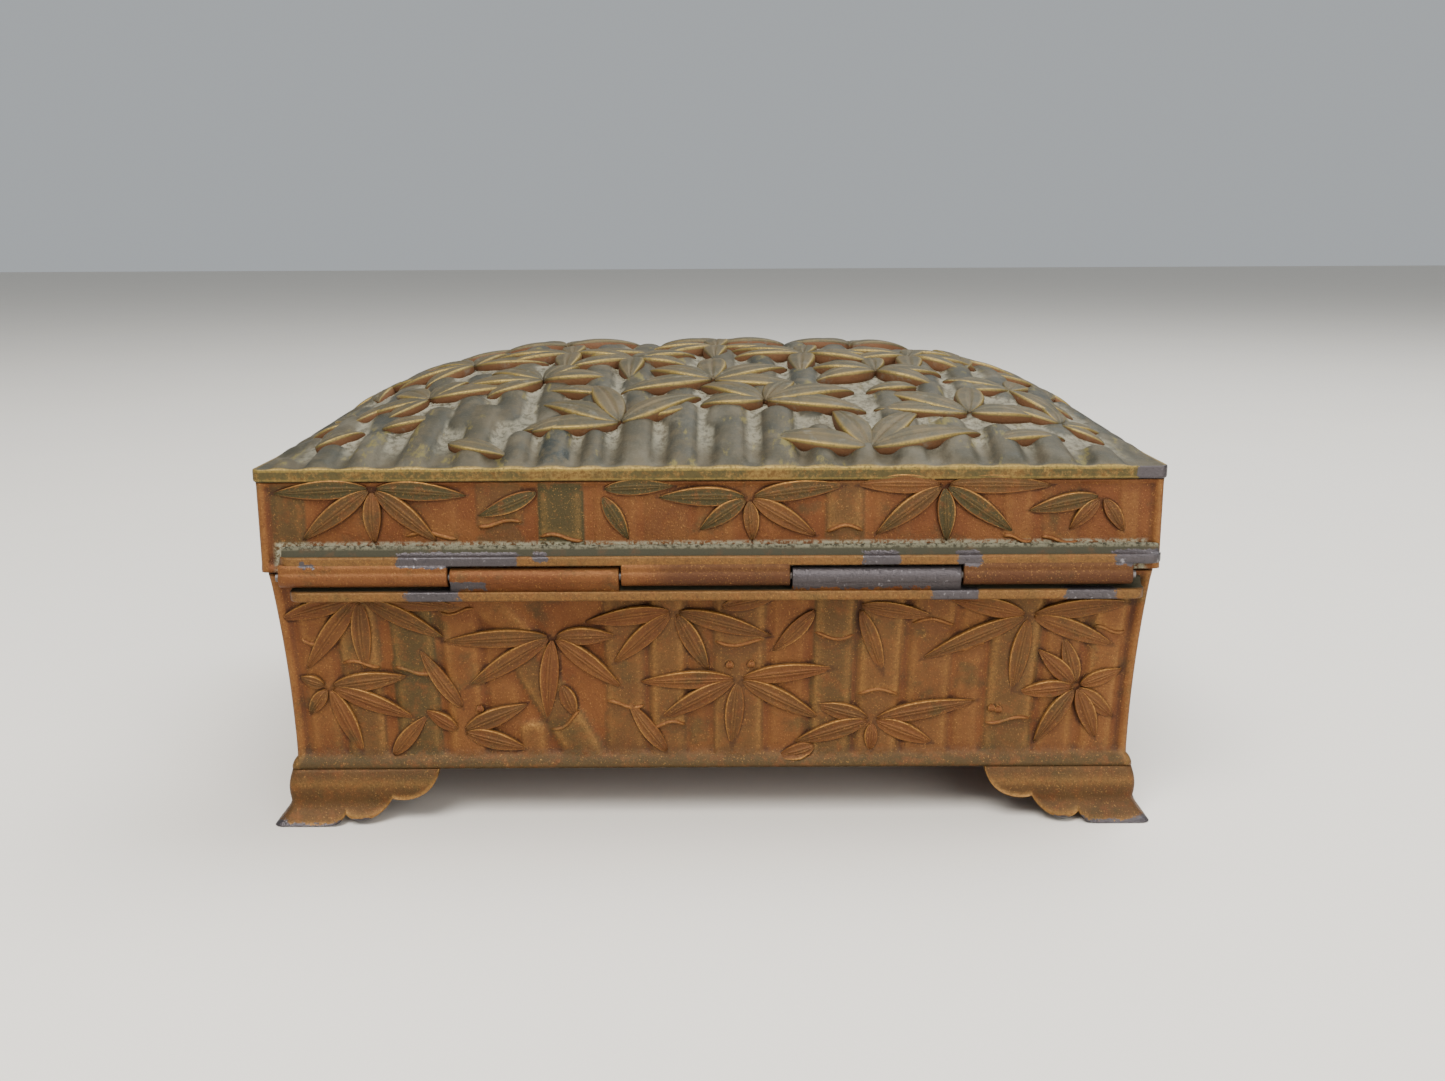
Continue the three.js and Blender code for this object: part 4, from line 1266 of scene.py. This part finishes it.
def lay_bare_metal(paint):
    """Metal with the gilt worn off, in patches with ragged edges, with painted glints on it."""
    edge = paint.spots(0.8, 5, 0.7, 0, 0.3, 0.7, -0.35, 0.35)
    here = paint.ramp(paint.maths("ADD", paint.layer_value("bare"), edge), 0.46, 0.54)
    paint.lay(here, BARE_METAL, 0.38, 0.7)
    pits = paint.spots(0.5, 4, 0.7, 3.3, 0.56, 0.68, 0, 0.7)
    paint.lay(paint.maths("MULTIPLY", here, pits), PIT, 0.6, 0.5)
    # Bright specks painted on the bare metal as glints.
    glint_spots = paint.spots(0.7, 3, 0.6, 9.3, 0.62, 0.74, 0, 0.5)
    paint.lay(paint.maths("MULTIPLY", here, glint_spots), PAINTED_GLINT, 0.3, 0.9)


def gilt_material(name):
    """Aged gilt: copper on the ground, golden on the ridges and on painted highlights, stained olive,
    red-brown in the creases and as painted shade.
    """
    paint = Paint(name)
    paint.start(GILT, GILT_WARM, paint.spots(6, 4, 0.6, 0, 0.4, 0.62), 0.5, 0.5)
    blotch = paint.spots(5, 5, 0.7, 3.1, 0.52, 0.7, 0, 0.65)
    paint.lay(blotch, OLIVE, 0.62, 0.35)
    mottle = paint.spots(1.4, 5, 0.75, 6.1, 0.32, 0.55, 0.35, 1)
    paint.lay(paint.times("stain", mottle), OLIVE, 0.62, 0.35)
    # Red-brown in the creases, which also paints shade in the hollows, beside the leaves, above the feet's
    # rims and on some of the hinge's knuckles.
    paint.lay(paint.ramp(paint.layer_value("hollow"), 0.2, 0.95, 0, 0.85), CREASE_BROWN_AND_SHADE, 0.7, 0.25)
    speckle = paint.spots(0.3, 3, 0.7, 1.7, 0.34, 0.6, 0.35, 1)
    paint.lay(paint.times("wear", speckle), GILT_BRIGHT, 0.4, 0.65)
    paint.lay(paint.spots(0.2, 2, 0.6, 5.5, 0.6, 0.72, 0, 0.45), GILT_BRIGHT, 0.42, 0.6)
    paint.lay(paint.spots(0.25, 3, 0.7, 4.7, 0.58, 0.7, 0, 0.5), CREASE_BROWN_AND_SHADE, 0.6, 0.3)
    uneven = paint.spots(2, 4, 0.6, 0, 0.25, 0.5, 0.7, 1)
    paint.lay(paint.times("dirt", uneven), GREEN_DIRT, 0.8, 0.1)
    lay_bare_metal(paint)
    powder = paint.spots(0.45, 5, 0.75, 7.3, 0.4, 0.56)
    paint.lay(paint.times("dust", powder), CRUST, 0.92, 0.0)
    grain = paint.noise(0.6, 3, 0.6, seed=5.2, stretch=(1, 1, 0.12))  # faint upright lines, as on bamboo
    paint.bump((paint.noise(0.28, 3, 0.65), 0.09), (paint.noise(1.6, 3, 0.55, seed=2.2), 0.09), (grain, 0.05))
    return paint.done()


def patina_material():
    """The dome's dull patina, with pale dust in the deep places and a gilt rim."""
    paint = Paint("dark_patina")
    paint.start(PATINA, PATINA_DARK, paint.spots(4, 4, 0.6, 0, 0.38, 0.62), 0.6, 0.35)
    film = paint.spots(7, 5, 0.7, 4.4, 0.45, 0.7, 0, 0.4)
    paint.lay(film, FILM, 0.8, 0.1)
    mottle = paint.spots(2, 4, 0.6, 5, 0.4, 0.6)
    paint.lay(paint.times("stain", mottle), FINGERED, 0.5, 0.3)
    streak = paint.noise(2.6, 5, 0.7, seed=8.1, stretch=(1, 0.4, 0.6))
    paint.lay(paint.ramp(streak, 0.56, 0.66, 0, 0.75), OCHRE, 0.62, 0.3)
    powder = paint.spots(0.9, 5, 0.76, 6.2, 0.38, 0.56, 0.15, 1)
    paint.lay(paint.times("dust", powder), POWDER, 0.95, 0.0)
    specks = paint.spots(0.22, 3, 0.7, 2.7, 0.58, 0.7, 0, 0.3)
    paint.lay(specks, SPECK, 0.7, 0.2)
    rim = paint.layer_value("rim")
    polish = paint.spots(0.4, 4, 0.7, 0, 0.35, 0.65)
    paint.lay(rim, paint.mix("RGBA", polish, RIM_BROWN, RIM_GOLD), 0.5, 0.55)
    corroded = paint.spots(1.3, 6, 0.8, 12, 0.4, 0.54)
    stretches = paint.spots(7, 2, 0.5, 21, 0.35, 0.5)
    spots = paint.maths("MULTIPLY", paint.maths("MULTIPLY", rim, corroded), stretches)
    paint.lay(spots, RIM_CORRODED, 0.75, 0.15)
    speckle = paint.spots(0.35, 3, 0.7, 1.2, 0.32, 0.6, 0.3, 1)
    paint.lay(paint.times("wear", speckle), DULL_GOLD, 0.46, 0.6)
    lay_bare_metal(paint)
    paint.bump((paint.noise(0.28, 3, 0.65), 0.05), (paint.noise(1.5, 3, 0.6, seed=2), 0.1))
    return paint.done()


def leaf_patina_material():
    """The dome's leaves: grey-olive on top, red-brown down their sides and midribs, partly their colour and
    partly painted shade, with rubbed golden edges.
    """
    paint = Paint("leaf_patina")
    paint.start(LEAF, LEAF_DARK, paint.spots(3, 4, 0.6, 0, 0.38, 0.62), 0.58, 0.35)
    # Red-brown where a leaf's sides and midrib lie in shade: partly the leaves' colour, partly painted shade.
    paint.lay(paint.ramp(paint.layer_value("hollow"), 0.5, 0.95), BROWN_FLANK_AND_SHADE, 0.6, 0.4)
    grey = paint.spots(1.8, 4, 0.7, 6.6, 0.56, 0.7, 0, 0.5)
    paint.lay(grey, LEAF_GREY, 0.85, 0.1)
    speckle = paint.spots(0.35, 3, 0.7, 1.2, 0.3, 0.56, 0.4, 1)
    paint.lay(paint.times("wear", speckle), DULL_GOLD, 0.42, 0.65)
    specks = paint.spots(0.22, 3, 0.7, 2.7, 0.58, 0.7, 0, 0.35)
    paint.lay(specks, LEAF_SPECK, 0.6, 0.4)
    paint.bump((paint.noise(0.28, 3, 0.65), 0.05), (paint.noise(1.4, 3, 0.6, seed=2), 0.07))
    return paint.done()


def velvet_material():
    paint = Paint("velvet")
    rubbed = paint.spots(14, 4, 0.6, 0, 0.4, 0.65)
    paint.start(VELVET, VELVET_RUBBED, rubbed, 0.92, 0.0)
    pile = paint.noise(0.35, 3, 0.7, seed=2.5)
    paint.lay(paint.ramp(pile, 0.5, 0.75, 0, 0.35), PILE, 0.95, 0.0)
    paint.shader.inputs["Sheen Weight"].default_value = 0.7
    paint.shader.inputs["Sheen Roughness"].default_value = 0.4
    paint.shader.inputs["Sheen Tint"].default_value = (0.9, 0.45, 0.5, 1)
    paint.bump((pile, 0.1), (paint.noise(5, 3, seed=4), 0.25))
    return paint.done()


def paperboard_material():
    paint = Paint("paperboard")
    paint.start(BOARD, BOARD_DARK, paint.spots(3, 5, 0.6, 0, 0.4, 0.6), 0.88, 0.0)
    fibres = paint.noise(0.5, 4, 0.7, stretch=(0.25, 1, 1))
    paint.lay(paint.ramp(fibres, 0.58, 0.7, 0, 0.5), FIBRE, 0.9, 0.0)
    paint.bump((fibres, 0.05))
    return paint.done()


def steel_material():
    paint = Paint("steel_wire")
    paint.start(STEEL, STEEL_DARK, paint.spots(2, 4, 0.6, 0, 0.4, 0.65), 0.5, 0.7)
    drawn = paint.noise(0.15, 2, 0.6, stretch=(0.05, 1, 1))
    paint.lay(paint.ramp(drawn, 0.55, 0.7, 0, 0.5), RUST, 0.7, 0.4)
    paint.bump((drawn, 0.02))
    return paint.done()


# ---------------------------------------------------------------- stage, light and camera
def make_stage():
    mesh = bpy.data.meshes.new("floor")
    corners = [(a * FLOOR_REACH, b * FLOOR_REACH, 0) for a, b in ((-1, -1), (1, -1), (1, 1), (-1, 1))]
    mesh.from_pydata(corners, [], [(0, 1, 2, 3)])
    floor = add_object("floor", mesh)
    paint = Paint("floor")
    paint.start(FLOOR, FLOOR_DARK, paint.noise(60, 3), 0.7, 0.0)
    mesh.materials.append(paint.done())
    world = bpy.data.worlds.new("studio")
    world.use_nodes = True
    background = world.node_tree.nodes["Background"]
    background.inputs["Color"].default_value = SKY
    background.inputs["Strength"].default_value = SKY_STRENGTH
    bpy.context.scene.world = world


def area_light(name, place, size, power, colour):
    light = bpy.data.lights.new(name, "AREA")
    light.size = size
    light.energy = power
    light.color = colour
    lamp = add_object(name, light)
    lamp.location = place
    lamp.rotation_euler = (Vector(LIT_POINT) - Vector(place)).to_track_quat("-Z", "Y").to_euler()


def make_camera():
    data = bpy.data.cameras.new("camera")
    data.lens, data.sensor_width = 35, 36
    data.clip_start = 0.01
    camera = add_object("camera", data)
    camera.location = (CAMERA_X * MM, (DOME_HIGH[1] + CAMERA_BACK) * MM, CAMERA_Z * MM)
    facing = Euler((math.radians(90 - CAMERA_PITCH), 0, math.pi)).to_matrix()
    camera.rotation_euler = (facing @ Matrix.Rotation(math.radians(-CAMERA_ROLL), 3, "Z")).to_euler()
    bpy.context.scene.camera = camera


# ---------------------------------------------------------------- the box
make_camera()
make_stage()
for light_values in LIGHTS:
    area_light(*light_values)

gilt = gilt_material("gilt_relief")
worn = gilt_material("worn_gilt")
patina = patina_material()
velvet = velvet_material()
make_tub(gilt)
make_band(gilt)
make_dome(patina, leaf_patina_material())
for foot_name in ("foot_back_left", "foot_back_right", "foot_front_left", "foot_front_right"):
    make_foot(foot_name, gilt)
make_hinge(worn)
for side in ("front", "back", "left", "right"):
    make_lining("lining_" + side, "velvet_board_" + side, velvet)
make_pad("floor_pad", "tub", "velvet_floor_pad", velvet)
make_pad("lid_pad", "lid", "velvet_lid_pad", velvet)
kept_nodes = {"tub_floor": gilt, "hinge_pin": steel_material()}
kept_nodes["floor_card"] = kept_nodes["lid_card"] = paperboard_material()
for cad_node, finish in kept_nodes.items():
    cad_mesh = frame["nodes"][cad_node].data
    cad_mesh.materials.clear()
    cad_mesh.materials.append(finish)
